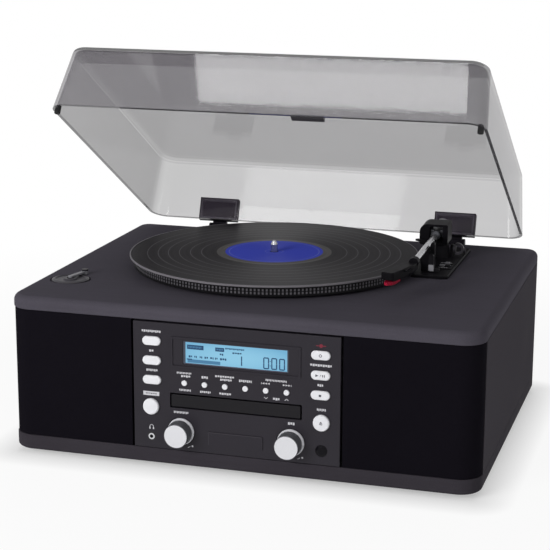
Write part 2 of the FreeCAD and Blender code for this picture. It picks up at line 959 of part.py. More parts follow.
def knob(x, z):
    """A turned knob with a flared skirt, hollow behind, and the potentiometer's shaft in its hub."""
    sunk = -knob_skirt_sunk
    step = knob_skirt_height
    cap = [
        (0, knob_length, 0), (knob_face_radius, knob_length, 0.6), (knob_body_radius, step, 0),
        (knob_body_radius + 0.1, step, 0), (knob_skirt_radius, 0.6, 0), (knob_skirt_radius, sunk, 0),
        (knob_cavity_radius, sunk, 0), (knob_cavity_radius, knob_length - 2.5, 1.0),
        (knob_hub_radius, knob_length - 2.5, 1.0), (knob_hub_radius, sunk + 2, 0),
        (knob_shaft_radius, sunk + 2, 0), (knob_shaft_radius, sunk + 2 + knob_shaft_depth, 0),
        (0, sunk + 2 + knob_shaft_depth, 0),
    ]
    shaft_back = front_board_y + board_thickness + 2
    shaft_front = front_y - (sunk + 2 + knob_shaft_depth)
    cap = turned(cap, V(x, front_y, z), V(0, -1, 0))
    shaft = rod(knob_shaft_radius, V(x, shaft_front, z), V(0, 1, 0), shaft_back - shaft_front)
    return [cap, shaft]


def headphone_jack():
    barrel_start = panel_thickness
    profile = [
        (jack_bore_radius, -jack_proud, 0), (jack_ring_radius, -jack_proud, 0.3),
        (jack_ring_radius, barrel_start, 0), (jack_barrel_radius, barrel_start, 0),
        (jack_barrel_radius, jack_length, 0), (jack_bore_radius, jack_length, 0),
    ]
    return turned(profile, V(-jack_x, front_y, jack_z), V(0, 1, 0))


def remote_sensor():
    profile = [
        (0, -sensor_proud, 0), (sensor_radius * 0.62, -sensor_proud, 1.2), (sensor_radius, 0, 0.5),
        (sensor_radius, panel_thickness + 1.5, 0), (0, panel_thickness + 1.5, 0),
    ]
    return turned(profile, V(sensor_x, front_y, sensor_z), V(0, 1, 0))


def circuit_boards():
    """The board behind the panel with its switches and potentiometers, and the main board on its posts."""
    y0 = front_board_y
    y1 = y0 + board_thickness
    edge = panel_half_width - panel_opening_margin - 1.5
    low = panel_low + panel_opening_margin + 1
    high = panel_high - panel_opening_margin - 1
    front = block(-edge, edge, y0, y1, low, high)
    reach = loader_half_width() + 2
    cuts = [block(-reach, reach, y0 - 1, y1 + 1, chassis_low() - 2, tray_top + 8)]
    for x, z in knob_places():
        cuts.append(rod(bushing_radius, V(x, y0 - 1, z), V(0, 1, 0), board_thickness + 2))
    cuts.append(rod(jack_barrel_radius + 0.5, V(-jack_x, y0 - 1, jack_z), V(0, 1, 0), board_thickness + 2))
    front = front.cut(cuts)
    half = switch_size / 2
    keys = oblong_places() + small_places() + round_places()
    switches = [
        block(x - half, x + half, y0 - switch_height, y0, z - half, z + half)
        for x, z in keys
    ]
    pots = []
    bore = knob_shaft_radius + shaft_clearance
    sleeve = bushing_radius - 0.2
    sleeve_front = panel_back + 0.3 - y1
    for x, z in knob_places():
        profile = [
            (bore, sleeve_front, 0), (sleeve, sleeve_front, 0), (sleeve, 0, 0), (pot_radius, 0, 0),
            (pot_radius, pot_length, 0.8), (0, pot_length, 0), (0, pot_bore_depth, 0), (bore, pot_bore_depth, 0),
        ]
        pots.append(turned(profile, V(x, y1, z), V(0, 1, 0)))
    z0 = base_top + main_board_lift
    main = block(main_board_left, main_board_right, main_board_front, main_board_back,
                 z0, z0 + board_thickness)
    top = z0 + board_thickness
    up = V(0, 0, 1)
    left = main_board_left + transformer_inset
    parts = [
        block(left, left + transformer_width, transformer_front, transformer_front + transformer_depth,
              top, top + transformer_height),
        block(heat_sink_x, heat_sink_x + heat_sink_thickness, heat_sink_front,
              heat_sink_front + heat_sink_length, top, top + heat_sink_height),
    ]
    for index in range(capacitor_count):
        place = V(capacitor_first_x + index * capacitor_pitch, capacitor_y, top)
        parts.append(rod(capacitor_radius, place, up, capacitor_height))
    for x in (main_board_left + board_post_inset, main_board_right - board_post_inset):
        for y in (main_board_front + board_post_inset, main_board_back - board_post_inset):
            parts.append(rod(board_post_radius, V(x, y, base_top), up, main_board_lift))
    return [front] + switches + pots + [main] + parts


# Disc tray and loader
def loader_half_width():
    return tray_half_width + chassis_side_clearance + chassis_wall


def chassis_low():
    return chassis_floor_top - chassis_floor


def tray_bezel():
    """The tray's front: a thin bar that fills the slot with an even gap."""
    y0 = front_y - tray_door_proud
    bar = upright_prism(tray_opening_corners(tray_door_gap), y0, y0 + tray_door_thickness)
    return round_edges(bar, 0.4, in_plane_y(y0))


def rack_cutters():
    """The gaps between the teeth of the rack under the tray's right rail."""
    pitch = math.pi * gear_module
    count = int((tray_length - rack_margin) / pitch) + rack_spare_teeth
    first = gear_y - math.floor((gear_y - tray_front - rack_margin) / pitch) * pitch
    half_tip = pitch * (1 - tooth_share) / 2 + 0.36 * gear_module
    half_root = pitch * (1 - tooth_share) / 2 - 0.42 * gear_module
    tip_x = rack_pitch_x - gear_module
    cutters = []
    for index in range(count):
        y = first + index * pitch
        corners = [
            (tip_x - 0.5, y - half_tip, 0), (rack_root_x, y - half_root, 0), (rack_root_x, y + half_root, 0),
            (tip_x - 0.5, y + half_tip, 0),
        ]
        cutters.append(flat_prism(corners, tray_bottom - 1, tray_underside))
    return cutters


def cd_tray():
    """The drawer for one disc, with recesses for both sizes, an open slot to its back, and its rack."""
    width = tray_half_width
    back = tray_front + tray_length
    body = flat_prism(
        [(-width, tray_front, 0), (width, tray_front, 0), (width, back, tray_corner),
         (-width, back, tray_corner)],
        tray_bottom, tray_top)
    floor = tray_top - disc_recess_depth
    up = V(0, 0, 1)
    rail = width - tray_rail
    slot = flat_prism(
        [(-tray_slot_half_width, disc_y - tray_slot_half_width, tray_slot_half_width - 0.01),
         (tray_slot_half_width, disc_y - tray_slot_half_width, tray_slot_half_width - 0.01),
         (tray_slot_half_width, back + 1, 0), (-tray_slot_half_width, back + 1, 0)],
        tray_bottom - 1, tray_top + 1)
    small_floor = floor - small_disc_recess_depth
    small_radius_cut = small_disc_radius + disc_recess_clearance
    cuts = [
        rod(disc_radius + disc_recess_clearance, V(0, disc_y, floor), up, disc_recess_depth + 1),
        rod(small_radius_cut, V(0, disc_y, small_floor), up, small_disc_recess_depth + 1),
        block(-rail, rail, tray_front + 3, back + 1, tray_bottom - 1, tray_underside),
        slot,
    ]
    body = body.cut(cuts)
    tip_x = rack_pitch_x - gear_module
    rack = block(tip_x, rack_root_x, tray_front + rack_margin, back - tray_corner,
                 tray_bottom, tray_underside)
    rack = rack.cut(rack_cutters())
    return fused([body] + rack.Solids)


def loader_chassis():
    """A moulded frame: floor, side walls with ledges that guide the tray, bridge, bearings and posts."""
    y0 = flange_back + 1.5
    y1 = tray_front + tray_length + 8
    wall_in = tray_half_width + chassis_side_clearance
    wall_out = wall_in + chassis_wall
    ledge_in = wall_in - chassis_ledge
    low = chassis_low()
    high = tray_top + chassis_gap + chassis_ledge_thickness
    up = V(0, 0, 1)
    pieces = [block(-wall_out, wall_out, y0, y1, low, chassis_floor_top)]
    for side in (-1, 1):
        x0, x1 = sorted((side * wall_in, side * wall_out))
        i0, i1 = sorted((side * ledge_in, side * (wall_in + 0.5)))
        pieces.append(block(x0, x1, y0, y1, chassis_floor_top, high))
        pieces.append(block(i0, i1, y0, y1, tray_bottom - chassis_gap - chassis_ledge_thickness,
                            tray_bottom - chassis_gap))
        pieces.append(block(i0, i1, disc_y - 10, y1, tray_top + chassis_gap, high))
    bridge0 = disc_y - chassis_bridge_width / 2
    pieces.append(block(-wall_out, wall_out, bridge0, bridge0 + chassis_bridge_width, high, high + 2.5))
    pieces.append(rod(clamp_radius, V(0, disc_y, tray_top + 1), up, high + 2.5 - tray_top - 1))
    pieces.append(rod(5.0, V(gear_x, gear_y, chassis_floor_top), up, 2.5))
    pieces.append(rod(hub_motor_radius, V(0, disc_y, chassis_floor_top), up, hub_motor_height))
    rod_z = chassis_floor_top + 4
    rod_front = disc_y + hub_motor_radius + 2
    rod_back = disc_y + sled_from_hub + sled_length + sled_travel + 4
    for side in (-1, 1):
        for y in (rod_front - 2, rod_back):
            pieces.append(block(side * sled_rod_x - 3, side * sled_rod_x + 3, y, y + 2.5, chassis_floor_top,
                                rod_z + 3))
    chassis = fused(pieces)
    length = rod_back - rod_front + 2.5
    rods = [
        rod(loader_shaft_radius, V(side * sled_rod_x, rod_front - 1, rod_z), V(0, 1, 0), length)
        for side in (-1, 1)
    ]
    bore = loader_shaft_radius + shaft_clearance
    cuts = rods + [
        rod(bore, V(gear_x, gear_y, low - 1), up, 20),
        rod(bore, V(0, disc_y, low - 1), up, 20),
    ]
    posts = []
    for side in (-1, 1):
        for y in (baffle_back + 8, y1 - 8):
            posts.append(rod(chassis_post_radius, V(side * (wall_out - 6), y, base_top), up, low - base_top))
    return [fused([chassis.cut(cuts)] + posts)] + rods


def loading_gear():
    """The pinion that drives the rack: straight-flanked teeth on a hub, with its shaft."""
    pitch_angle = 2 * math.pi / gear_teeth
    tip = gear_pitch_radius + gear_module
    root = gear_pitch_radius - 1.2 * gear_module
    half_pitch = pitch_angle * tooth_share / 2
    corners = []
    for index in range(gear_teeth):
        angle = index * pitch_angle
        for radius, offset in ((root, -1.55), (tip, -0.5), (tip, 0.5), (root, 1.55)):
            a = angle + offset * half_pitch
            corners.append((gear_x + radius * math.cos(a), gear_y + radius * math.sin(a), 0))
    z1 = tray_underside - 0.4
    teeth = flat_prism(corners, z1 - gear_thickness, z1)
    low = chassis_floor_top + 2.5 + chassis_gap
    hub = rod(4.0, V(gear_x, gear_y, low), V(0, 0, 1), z1 - gear_thickness - low + 0.5)
    shaft = rod(loader_shaft_radius, V(gear_x, gear_y, chassis_low() + 0.5), V(0, 0, 1), low - chassis_low())
    return fused([teeth, hub, shaft])


def disc_hub():
    """The turntable under the disc's centre, with a coned nose and its motor shaft."""
    top = tray_top - disc_recess_depth - 1.2
    profile = [
        (0, chassis_low() + 0.5, 0), (loader_shaft_radius, chassis_low() + 0.5, 0),
        (loader_shaft_radius, top - hub_thickness, 0), (hub_radius, top - hub_thickness, 0),
        (hub_radius, top, 0), (hub_nose_radius, top, 0), (hub_nose_radius - 0.4, top + 1.6, 0),
        (hub_tip_radius, top + hub_nose_height, 0), (0, top + hub_nose_height, 0),
    ]
    return turned(profile, V(0, disc_y, 0))


def optical_pickup():
    y0 = disc_y + sled_from_hub
    z0 = chassis_floor_top + 4 - sled_height / 2
    sled = block(-sled_half_width, sled_half_width, y0, y0 + sled_length, z0, z0 + sled_height)
    lens = rod(lens_radius, V(0, y0 + sled_length / 2, z0 + sled_height - 0.5), V(0, 0, 1), lens_height + 0.5)
    bore = loader_shaft_radius + shaft_clearance
    bores = [
        rod(bore, V(side * sled_rod_x, y0 - 1, chassis_floor_top + 4), V(0, 1, 0), sled_length + 2)
        for side in (-1, 1)
    ]
    return fused([sled, lens]).cut(bores)


# Record deck
def platter():
    """A cast platter: rim with a sunk strobe band, ring for the belt, hub and ribs beneath."""
    low = 0.0
    top = platter_height
    under = top - platter_top_thickness
    band = platter_radius - strobe_band_depth
    inner = platter_radius - platter_rim_thickness
    ring = drive_ring_radius
    ring_in = ring - drive_ring_thickness
    hub_low = bearing_gap + bearing_top() - platter_low
    profile = [
        (spindle_seat_radius, top, 0), (platter_radius, top, 0.6),
        (platter_radius, strobe_band_low + strobe_band_height, 0),
        (band, strobe_band_low + strobe_band_height, 0), (band, strobe_band_low, 0),
        (platter_radius, strobe_band_low, 0), (platter_radius, low, 0.6), (inner, low, 0), (inner, under, 2),
        (ring, under, 0), (ring, low + 1, 0), (ring_in, low + 1, 0), (ring_in, under, 0),
        (platter_hub_radius, under, 0), (platter_hub_radius, hub_low, 0), (spindle_seat_radius, hub_low, 0),
    ]
    body = turned(profile, V(spindle_x, spindle_y, platter_low))
    ribs = []
    half = platter_rib_thickness / 2
    for index in range(platter_rib_count):
        rib = block(platter_hub_radius - 1, ring_in + 1, -half, half, 3.0, under + 0.5)
        rib.rotate(V(0, 0, 0), V(0, 0, 1), index * 360 / platter_rib_count)
        rib.translate(V(spindle_x, spindle_y, platter_low))
        ribs.append(rib)
    return fused([body] + ribs)


def bearing_top():
    return deck_top + 1.0


def record():
    """A twelve-inch record with its rim bead and a thicker middle under the label."""
    hole = spindle_radius + record_hole_clearance
    top = record_thickness
    profile = [
        (hole, 0, 0), (record_radius, 0, 0.4), (record_radius, top + record_bead, 0.4),
        (record_radius - record_bead_width, top, 0),
        (label_radius + 4, top, 0), (label_radius + 2, top + label_rise, 0), (hole, top + label_rise, 0),
    ]
    return turned(profile, V(spindle_x, spindle_y, platter_top))


def spindle():
    nose = record_top + spindle_above_record
    shoulder = bearing_top() + bearing_gap + 1
    foot = bearing_top() - bearing_depth + bearing_floor + 0.3
    taper = nose - spindle_taper_height
    neck = spindle_radius - spindle_undercut
    pin_foot = record_top + label_rise + 0.1
    profile = [
        (0, foot, 0), (spindle_shaft_radius, foot, 1.0), (spindle_shaft_radius, shoulder, 0),
        (spindle_seat_radius, shoulder, 0), (spindle_seat_radius, platter_top, 0), (neck, platter_top, 0),
        (neck, pin_foot, 0), (spindle_radius, pin_foot, 0), (spindle_radius, taper, 0),
        (spindle_tip_radius, nose, 1.4), (0, nose, 0),
    ]
    return turned(profile, V(spindle_x, spindle_y, 0))


def turntable_chassis():
    """A steel plate under the deck that carries the spindle's bearing and the motor."""
    margin = chassis_plate_margin
    low = deck_bottom - chassis_plate_thickness
    x0, x1 = sorted((motor_x, spindle_x))
    y0, y1 = sorted((motor_y, spindle_y))
    plate = flat_prism(rectangle(x0 - margin, x1 + margin, y0 - margin, y1 + margin, 10.0), low, deck_bottom)
    up = V(0, 0, 1)
    foot = bearing_top() - bearing_depth
    tube = rod(bearing_radius, V(spindle_x, spindle_y, foot), up, bearing_depth)
    bore = spindle_shaft_radius + shaft_clearance
    cuts = [
        rod(bore, V(spindle_x, spindle_y, foot + bearing_floor), up, bearing_depth),
        rod(motor_boss_radius, V(motor_x, motor_y, low - 1), up, chassis_plate_thickness + 2),
    ]
    return fused([plate, tube]).cut(cuts)


def motor():
    low = deck_bottom - chassis_plate_thickness - motor_height
    high = deck_bottom - chassis_plate_thickness
    bore = motor_shaft_radius + shaft_clearance
    profile = [
        (0, low, 0), (motor_radius, low, 2.0), (motor_radius, high, 0), (motor_boss_radius, high, 0),
        (motor_boss_radius, deck_bottom + 2, 0), (bore, deck_bottom + 2, 0), (bore, low + 4, 0),
        (0, low + 4, 0),
    ]
    return turned(profile, V(motor_x, motor_y, 0))


def motor_pulley():
    """A crowned brass pulley on the motor's shaft."""
    low = deck_bottom - chassis_plate_thickness - motor_height + 4.3
    z1 = platter_low + platter_height - platter_top_thickness - 0.6
    z0 = z1 - pulley_height
    middle = (z0 + z1) / 2
    flange = pulley_radius + 1.2
    half_belt = belt_height / 2 + 0.2
    profile = [
        (0, low, 0), (motor_shaft_radius, low, 0), (motor_shaft_radius, z0, 0), (flange, z0, 0),
        (flange, z0 + 0.3, 0), (pulley_radius, middle - half_belt, 0), (pulley_radius, middle + half_belt, 0),
        (flange, z1, 0), (0, z1, 0),
    ]
    return turned(profile, V(motor_x, motor_y, 0))


def belt_middle():
    return platter_low + platter_height - platter_top_thickness - 0.6 - pulley_height / 2


def belt_face(grow):
    """The area inside an open belt round the drive ring and the pulley, grown by grow."""
    big = drive_ring_radius + grow
    small = pulley_radius + grow
    spread = math.acos((big - small) / motor_distance)
    lean = math.radians(motor_angle)
    points = []
    for centre, radius in (((spindle_x, spindle_y), big), ((motor_x, motor_y), small)):
        for side in (-1, 1):
            a = lean + side * spread
            points.append(V(centre[0] + radius * math.cos(a), centre[1] + radius * math.sin(a), 0))
    far = V(spindle_x - big * math.cos(lean), spindle_y - big * math.sin(lean), 0)
    near = V(motor_x + small * math.cos(lean), motor_y + small * math.sin(lean), 0)
    edges = [
        Part.Arc(points[0], far, points[1]).toShape(), Part.LineSegment(points[1], points[3]).toShape(),
        Part.Arc(points[3], near, points[2]).toShape(), Part.LineSegment(points[2], points[0]).toShape(),
    ]
    return Part.Face(Part.Wire(edges))


def drive_belt():
    outer = belt_face(belt_clearance + belt_thickness)
    inner = belt_face(belt_clearance)
    loop = outer.extrude(V(0, 0, belt_height)).cut(inner.extrude(V(0, 0, belt_height)))
    loop.translate(V(0, 0, belt_middle() - belt_height / 2))
    return loop


# Tonearm
def place_arm(shape):
    """From the arm's own frame, pivot at the origin and arm along -Y, to its place at rest."""
    placed = turn(shape, V(0, 0, 0), V(0, 0, 1), arm_rest_angle)
    placed.translate(V(pivot_x, pivot_y, 0))
    return placed


def headshell_frame(shape):
    """From the headshell's own frame, joint at the origin and nose along -Y, to the arm's frame."""
    placed = turn(shape, V(0, 0, 0), V(0, 0, 1), -headshell_offset_angle)
    placed.translate(V(0, -arm_tube_front, 0))
    return placed


def arm_well_prism(inset, z0, z1):
    margin = arm_well_margin + inset
    body = flat_prism(
        rectangle(arm_base_left + margin, arm_base_right - margin, arm_base_front + margin,
                  arm_base_back - margin, 3.0), z0, z1)
    clear = platter_radius + arm_base_platter_gap + margin
    return body.cut(rod(clear, V(spindle_x, spindle_y, z0 - 1), V(0, 0, 1), z1 - z0 + 2))


def tonearm_base():
    """One moulding: plate cut round the platter, column, arm rest, cue guide, lug and switch pad."""
    up = V(0, 0, 1)
    top = arm_base_top
    plate = flat_prism(
        rectangle(arm_base_left, arm_base_right, arm_base_front, arm_base_back, arm_base_corner),
        deck_top, top)
    clear = platter_radius + arm_base_platter_gap
    plate = plate.cut(rod(clear, V(spindle_x, spindle_y, deck_top - 1), up, arm_base_thickness + 2))
    edges = [edge for edge in plate.Edges if abs(edge.CenterOfMass.z - top) < 0.01]
    plate = plate.makeChamfer(arm_base_bevel, edges)
    skirt = arm_well_prism(arm_well_clearance, deck_top - arm_well_depth, deck_top + 0.5)
    skirt = skirt.cut(arm_well_prism(arm_well_clearance + arm_well_wall, deck_top - arm_well_depth - 1,
                                     deck_top + 1))
    column_top = arm_z - housing_below - column_gap
    column = turned(
        [(0, top - 1, 0), (column_radius + 1.5, top - 1, 0), (column_radius, column_top, 1.2),
         (0, column_top, 0)],
        V(pivot_x, pivot_y, 0))
    rest_x, rest_y = arm_point(rest_distance)
    bed = arm_z - arm_tube_radius - rest_gap
    right = rest_x + rest_right
    rest = upright_prism(
        [(rest_x - rest_left, top - 0.5, 0), (right, top - 0.5, 0), (right, bed + rest_horn_height, 1.5),
         (right - rest_horn_width, bed + rest_horn_height, 1.5), (right - rest_horn_width, bed, 1.0),
         (rest_x - rest_left, bed, 1.0)],
        rest_y - rest_thickness / 2, rest_y + rest_thickness / 2)
    cue_x, cue_y = cue_point(cue_radius, -cue_post_angle)
    boss = rod(cue_boss_radius, V(cue_x, cue_y, top - 0.5), up, cue_boss_height + 0.5)
    lug_top = top + lever_above_base + lever_pin_radius + 3
    lug = side_prism(
        [(lever_y - lever_lug_half_length, top - 0.5, 0), (lever_y + lever_lug_half_length, top - 0.5, 0),
         (lever_y + 4, lug_top, 3.0), (lever_y - 4, lug_top, 3.0)],
        lever_x, lever_x + lever_lug_thickness)
    pad = flat_prism(
        rectangle(switch_pad_left, switch_pad_left + switch_pad_width, switch_pad_front,
                  switch_pad_front + switch_pad_depth, 2.0),
        top - 0.5, top + switch_pad_height)
    base = fused([plate, skirt, column, rest, boss, lug, pad])
    pin_x, pin_z = clip_pivot()
    swing_floor = arm_z - housing_below - swing_shaft_length - 0.5
    cuts = [
        rod(swing_shaft_radius + shaft_clearance, V(pivot_x, pivot_y, swing_floor), up, 40),
        rod(cue_post_radius + shaft_clearance, V(cue_x, cue_y, cue_rod_low() - cue_travel - 1), up, 40),
        rod(lever_pin_radius + shaft_clearance, V(lever_x - 1, lever_y, top + lever_above_base), V(1, 0, 0),
            lever_lug_thickness + 2),
        rod(clip_pin_radius + shaft_clearance, V(pin_x, rest_y - rest_thickness / 2 - 1, pin_z), V(0, 1, 0),
            clip_pin_length + 1.5),
    ]
    for y in (autostop_y, speed_y):
        cuts.append(flat_prism(slot_corners(slider_x, y, slider_slot_length, slider_slot_width),
                               deck_top - 2, top + 5))
    return base.cut(cuts)


def arm_point(distance, aside=0.0):
    """The point under the arm at a distance from the pivot, moved aside to the arm's right."""
    a = math.radians(arm_rest_angle)
    x = pivot_x + distance * math.sin(a) + aside * math.cos(a)
    y = pivot_y - distance * math.cos(a) + aside * math.sin(a)
    return x, y


def clip_pivot():
    return arm_point(rest_distance)[0] + clip_from_arm, arm_z - clip_below_arm


def cue_point(radius, angle):
    a = math.radians(angle)
    return pivot_x + radius * math.sin(a), pivot_y - radius * math.cos(a)


def cue_rod_low():
    return arm_z - arm_tube_radius - cue_gap - cue_thickness - cue_post_length


def arm_gimbal():
    """The pivot housing: a channel round the arm, rounder on its left, on the shaft that it swings about."""
    low = arm_z - housing_below
    high = arm_z + housing_above
    left = -housing_left
    right = housing_right
    shell = upright_prism(
        [(left, low, housing_edge), (right, low, housing_edge), (right, high, housing_edge),
         (left, high, housing_round)],
        -housing_front, housing_back)
    slot = block(-housing_slot_half_width, housing_slot_half_width, -housing_front - 1, housing_back + 1,
                 arm_z - housing_slot_below, arm_z + housing_slot_above)
    shaft = rod(swing_shaft_radius, V(0, 0, low - swing_shaft_length), V(0, 0, 1), swing_shaft_length + 0.5)
    bore = rod(pivot_pin_radius + shaft_clearance, V(-pivot_pin_half_length - 0.5, 0, arm_z), V(1, 0, 0),
               2 * pivot_pin_half_length + 1)
    return place_arm(fused([shell, shaft]).cut([slot, bore]))


def arm_tube():
    length = arm_tube_front + arm_tube_back
    start = V(0, arm_tube_back, arm_z)
    tube = rod(arm_tube_radius, start, V(0, -1, 0), length)
    return place_arm(tube.cut(rod(arm_tube_bore, start, V(0, -1, 0), length)))


def arm_counterweight():
    """The pivot block with its two pins, and the weight on the arm's tail."""
    length = pivot_block_half_length
    width = pivot_block_half_width
    height = pivot_block_half_height
    body = side_prism(rectangle(-length, length, arm_z - height, arm_z + height, 1.5), -width, width)
    pins = rod(pivot_pin_radius, V(-pivot_pin_half_length, 0, arm_z), V(1, 0, 0), 2 * pivot_pin_half_length)
    neck = rod(neck_radius, V(0, -neck_front, arm_z), V(0, 1, 0), neck_front)
    hole = rod(arm_tube_radius, V(0, arm_tube_back + 5, arm_z), V(0, -1, 0), arm_tube_front)
    weight = turned(
        [(0, 0, 0), (counterweight_radius, 0, 1.2), (counterweight_radius, counterweight_length, 1.2),
         (0, counterweight_length, 0)],
        V(0, counterweight_start, arm_z), V(0, 1, 0))
    bore = rod(arm_tube_radius, V(0, counterweight_start - 1, arm_z), V(0, 1, 0),
               arm_tube_back - counterweight_start + 1)
    return [place_arm(fused([body, pins, neck]).cut(hole)), place_arm(weight.cut(bore))]


def headshell():
    """A channel that widens from the arm's collar, closed at its nose, with a finger lift at its side."""
    low = arm_z - headshell_below
    high = arm_z + headshell_above
    wide = headshell_half_width
    narrow = headshell_rear_half_width
    taper = -headshell_taper_length
    end = -headshell_length
    outline = [(-narrow, 2, 1.5), (-wide, taper, 6), (-wide, end, 3.5), (wide, end, 3.5), (wide, taper, 6),
               (narrow, 2, 1.5)]
    shell = flat_prism(outline, low, high)
    shell = round_edges(shell, 1.2, at_height(high))
    inner = wide - headshell_wall
    hollow = flat_prism(
        rectangle(-inner, inner, end + headshell_wall, taper, 2.0), low - 1, high - headshell_wall)
    lift_y = end + finger_lift_from_end
    tip = wide + finger_lift_reach
    t = finger_lift_thickness
    lift = upright_prism(
        [(wide - 1, high - 2.5, 0), (wide + 3, high - 2.5, 2.0), (tip, high + 1.5, 0),
         (tip, high + 1.5 + t, 0),
         (wide + 3, high - 2.5 + t, 2.0), (wide - 1, high - 2.5 + t, 0)],
        lift_y, lift_y + finger_lift_width)
    shell = headshell_frame(fused([shell.cut(hollow), lift]))
    collar_start = V(0, -arm_tube_front + headshell_collar_length - 3, arm_z)
    collar = rod(headshell_collar_radius, collar_start, V(0, -1, 0), headshell_collar_length)
    bore = rod(arm_tube_radius, V(0, -arm_tube_front + 20, arm_z), V(0, -1, 0), 20)
    return place_arm(fused([shell, collar]).cut(bore))


def cartridge():
    high = arm_z + headshell_above - headshell_wall
    low = high - cartridge_height
    end = -headshell_length + headshell_wall + cartridge_from_end
    width = cartridge_half_width
    body = side_prism(
        [(end, low + 3, 1.0), (end + 5, low, 1.0), (end + cartridge_length, low, 1.5),
         (end + cartridge_length, high, 0), (end, high, 0)],
        -width, width)
    return place_arm(headshell_frame(body))


def stylus():
    """The needle's holder: a boat-nosed body under the cartridge, with the cantilever's tip below."""
    high = arm_z + headshell_above - headshell_wall - cartridge_height
    low = high - stylus_height
    nose = -stylus_tip_from_joint - 7
    tail = nose + stylus_length
    width = stylus_half_width
    tapered = width - stylus_nose_half_width
    body = flat_prism(
        [(-stylus_nose_half_width, nose, 0.6), (stylus_nose_half_width, nose, 0.6),
         (width, nose + 2 * tapered, 2),
         (width, tail, 0.5), (-width, tail, 0.5), (-width, nose + 2 * tapered, 2)],
        low, high)
    under = side_prism(
        [(nose - 1, low - 1, 0), (tail + 1, low - 1, 0), (tail + 1, low + 1.4, 0), (nose + 11, low, 6),
         (nose - 1, low + 0.8, 0)],
        -width - 1, width + 1)
    tip_z = record_top + stylus_tip_above_record
    tip = rod(stylus_tip_radius, V(0, -stylus_tip_from_joint, tip_z), V(0, 0, 1), high - tip_z - 0.5)
    return place_arm(headshell_frame(fused([body.cut(under), tip])))


def rest_clip():
    """The clip that holds the arm down, hanging open in front of the rest."""
    pin_x, pin_z = clip_pivot()
    rest_y = arm_point(rest_distance)[1]
    back = rest_y - rest_thickness / 2 - clip_gap
    half = clip_width / 2
    foot = pin_z - clip_length
    stem = upright_prism(
        [(pin_x - half, foot, 0.8), (pin_x + half + clip_hook, foot, 0.8),
         (pin_x + half + clip_hook, foot + clip_hook_thickness, 0.8),
         (pin_x + half, foot + clip_hook_thickness, 0.5),
         (pin_x + half, pin_z + half, half - 0.01), (pin_x - half, pin_z + half, half - 0.01)],
        back - clip_thickness, back)
    pin = rod(clip_pin_radius, V(pin_x, back - 0.5, pin_z), V(0, 1, 0), clip_pin_length + 0.5)
    return fused([stem, pin])


def cue_platform():
    """A curved bar under the arm, concentric with the pivot, on its lifting rod."""
    high = arm_z - arm_tube_radius - cue_gap
    low = high - cue_thickness
    inner = cue_radius - cue_width / 2
    outer = cue_radius + cue_width / 2
    middle = (cue_right_angle - cue_left_angle) / 2

    def arc(radius):
        points = [V(*cue_point(radius, a), low) for a in (-cue_left_angle, middle, cue_right_angle)]
        return Part.Arc(*points).toShape(), points

    outer_edge, outer_points = arc(outer)
    inner_edge, inner_points = arc(inner)
    ends = [Part.LineSegment(outer_points[i], inner_points[i]).toShape() for i in (0, 2)]
    wire = Part.Wire(Part.__sortEdges__([outer_edge, inner_edge] + ends))
    bar = Part.Face(wire).extrude(V(0, 0, cue_thickness))
    x, y = cue_point(cue_radius, -cue_post_angle)
    post = rod(cue_post_radius, V(x, y, cue_rod_low()), V(0, 0, 1), cue_post_length + 0.5)
    return fused([bar, post])


def cue_lever():
    """The cueing lever: hub on its pin, a curved fin at its side and a pad to push."""
    z = arm_base_top + lever_above_base
    hub_x = lever_x + lever_lug_thickness + 0.3
    right = V(1, 0, 0)
    pin = rod(lever_pin_radius, V(lever_x, lever_y, z), right, lever_lug_thickness + 0.5)
    hub = rod(lever_hub_radius, V(hub_x, lever_y, z), right, lever_hub_thickness)
    x0 = hub_x + lever_hub_thickness - 0.6
    y0 = lever_y - lever_fin_thickness / 2
    outer = [V(x0, y0, z + lever_half_height), V(x0 + lever_bulge, y0, z), V(x0, y0, z - lever_half_height)]
    thin = lever_fin_width
    inner = [V(x0, y0, z + lever_half_height - thin), V(x0 + lever_bulge - thin, y0, z),
             V(x0, y0, z - lever_half_height + thin)]
    wire = Part.Wire(Part.__sortEdges__([
        Part.Arc(*outer).toShape(), Part.Arc(*inner).toShape(),
        Part.LineSegment(outer[0], inner[0]).toShape(), Part.LineSegment(outer[2], inner[2]).toShape(),
    ]))
    fin = Part.Face(wire).extrude(V(0, lever_fin_thickness, 0))
    start = V(x0 + lever_bulge - thin / 2, lever_y, z)
    pad_centre = V(lever_pad_x, lever_pad_y, arm_base_top + lever_pad_above_base)
    path = pad_centre - start
    stem = rod(lever_rod_radius, start, path, path.Length)
    pad = rod(lever_pad_radius, pad_centre - right * (lever_pad_length / 2), right, lever_pad_length)
    return fused([pin, hub, fin, stem, pad])


def slider(y, offset):
    """A slide switch's knob with its stem through the pad."""
    x = slider_x + offset
    low = arm_base_top + switch_pad_height + slider_gap
    cap = flat_prism(
        rectangle(x - slider_length / 2, x + slider_length / 2,
                  y - slider_width / 2, y + slider_width / 2, 0.8),
        low, low + slider_height)
    cap = round_edges(cap, 0.5, at_height(low + slider_height))
    half = slider_stem_width / 2
    stem = block(x - slider_stem / 2, x + slider_stem / 2, y - half, y + half,
                 low - slider_stem_depth, low + 0.5)
    return fused([cap, stem])


# Adapter
def adapter_post():
    a = math.radians(lever_post_angle)
    return V(adapter_x + lever_post_distance * math.cos(a), adapter_y + lever_post_distance * math.sin(a),
             deck_top)


def adapter():
    """A moulded adapter: rim, web and a raised hub round its hole."""
    top = adapter_thickness
    hole = adapter_hole_radius
    profile = [
        (hole, 0, 0), (adapter_radius, 0, 0), (adapter_radius, top - 1.2, 0.5),
        (adapter_radius - 3, top - 0.4, 0),
        (adapter_radius - 5, top - 1.4, 0), (hole + 4, top - 1.4, 0), (hole + 3, top, 0.4), (hole, top, 0),
    ]
    return turned(profile, V(adapter_x, adapter_y, deck_top - dish_depth))


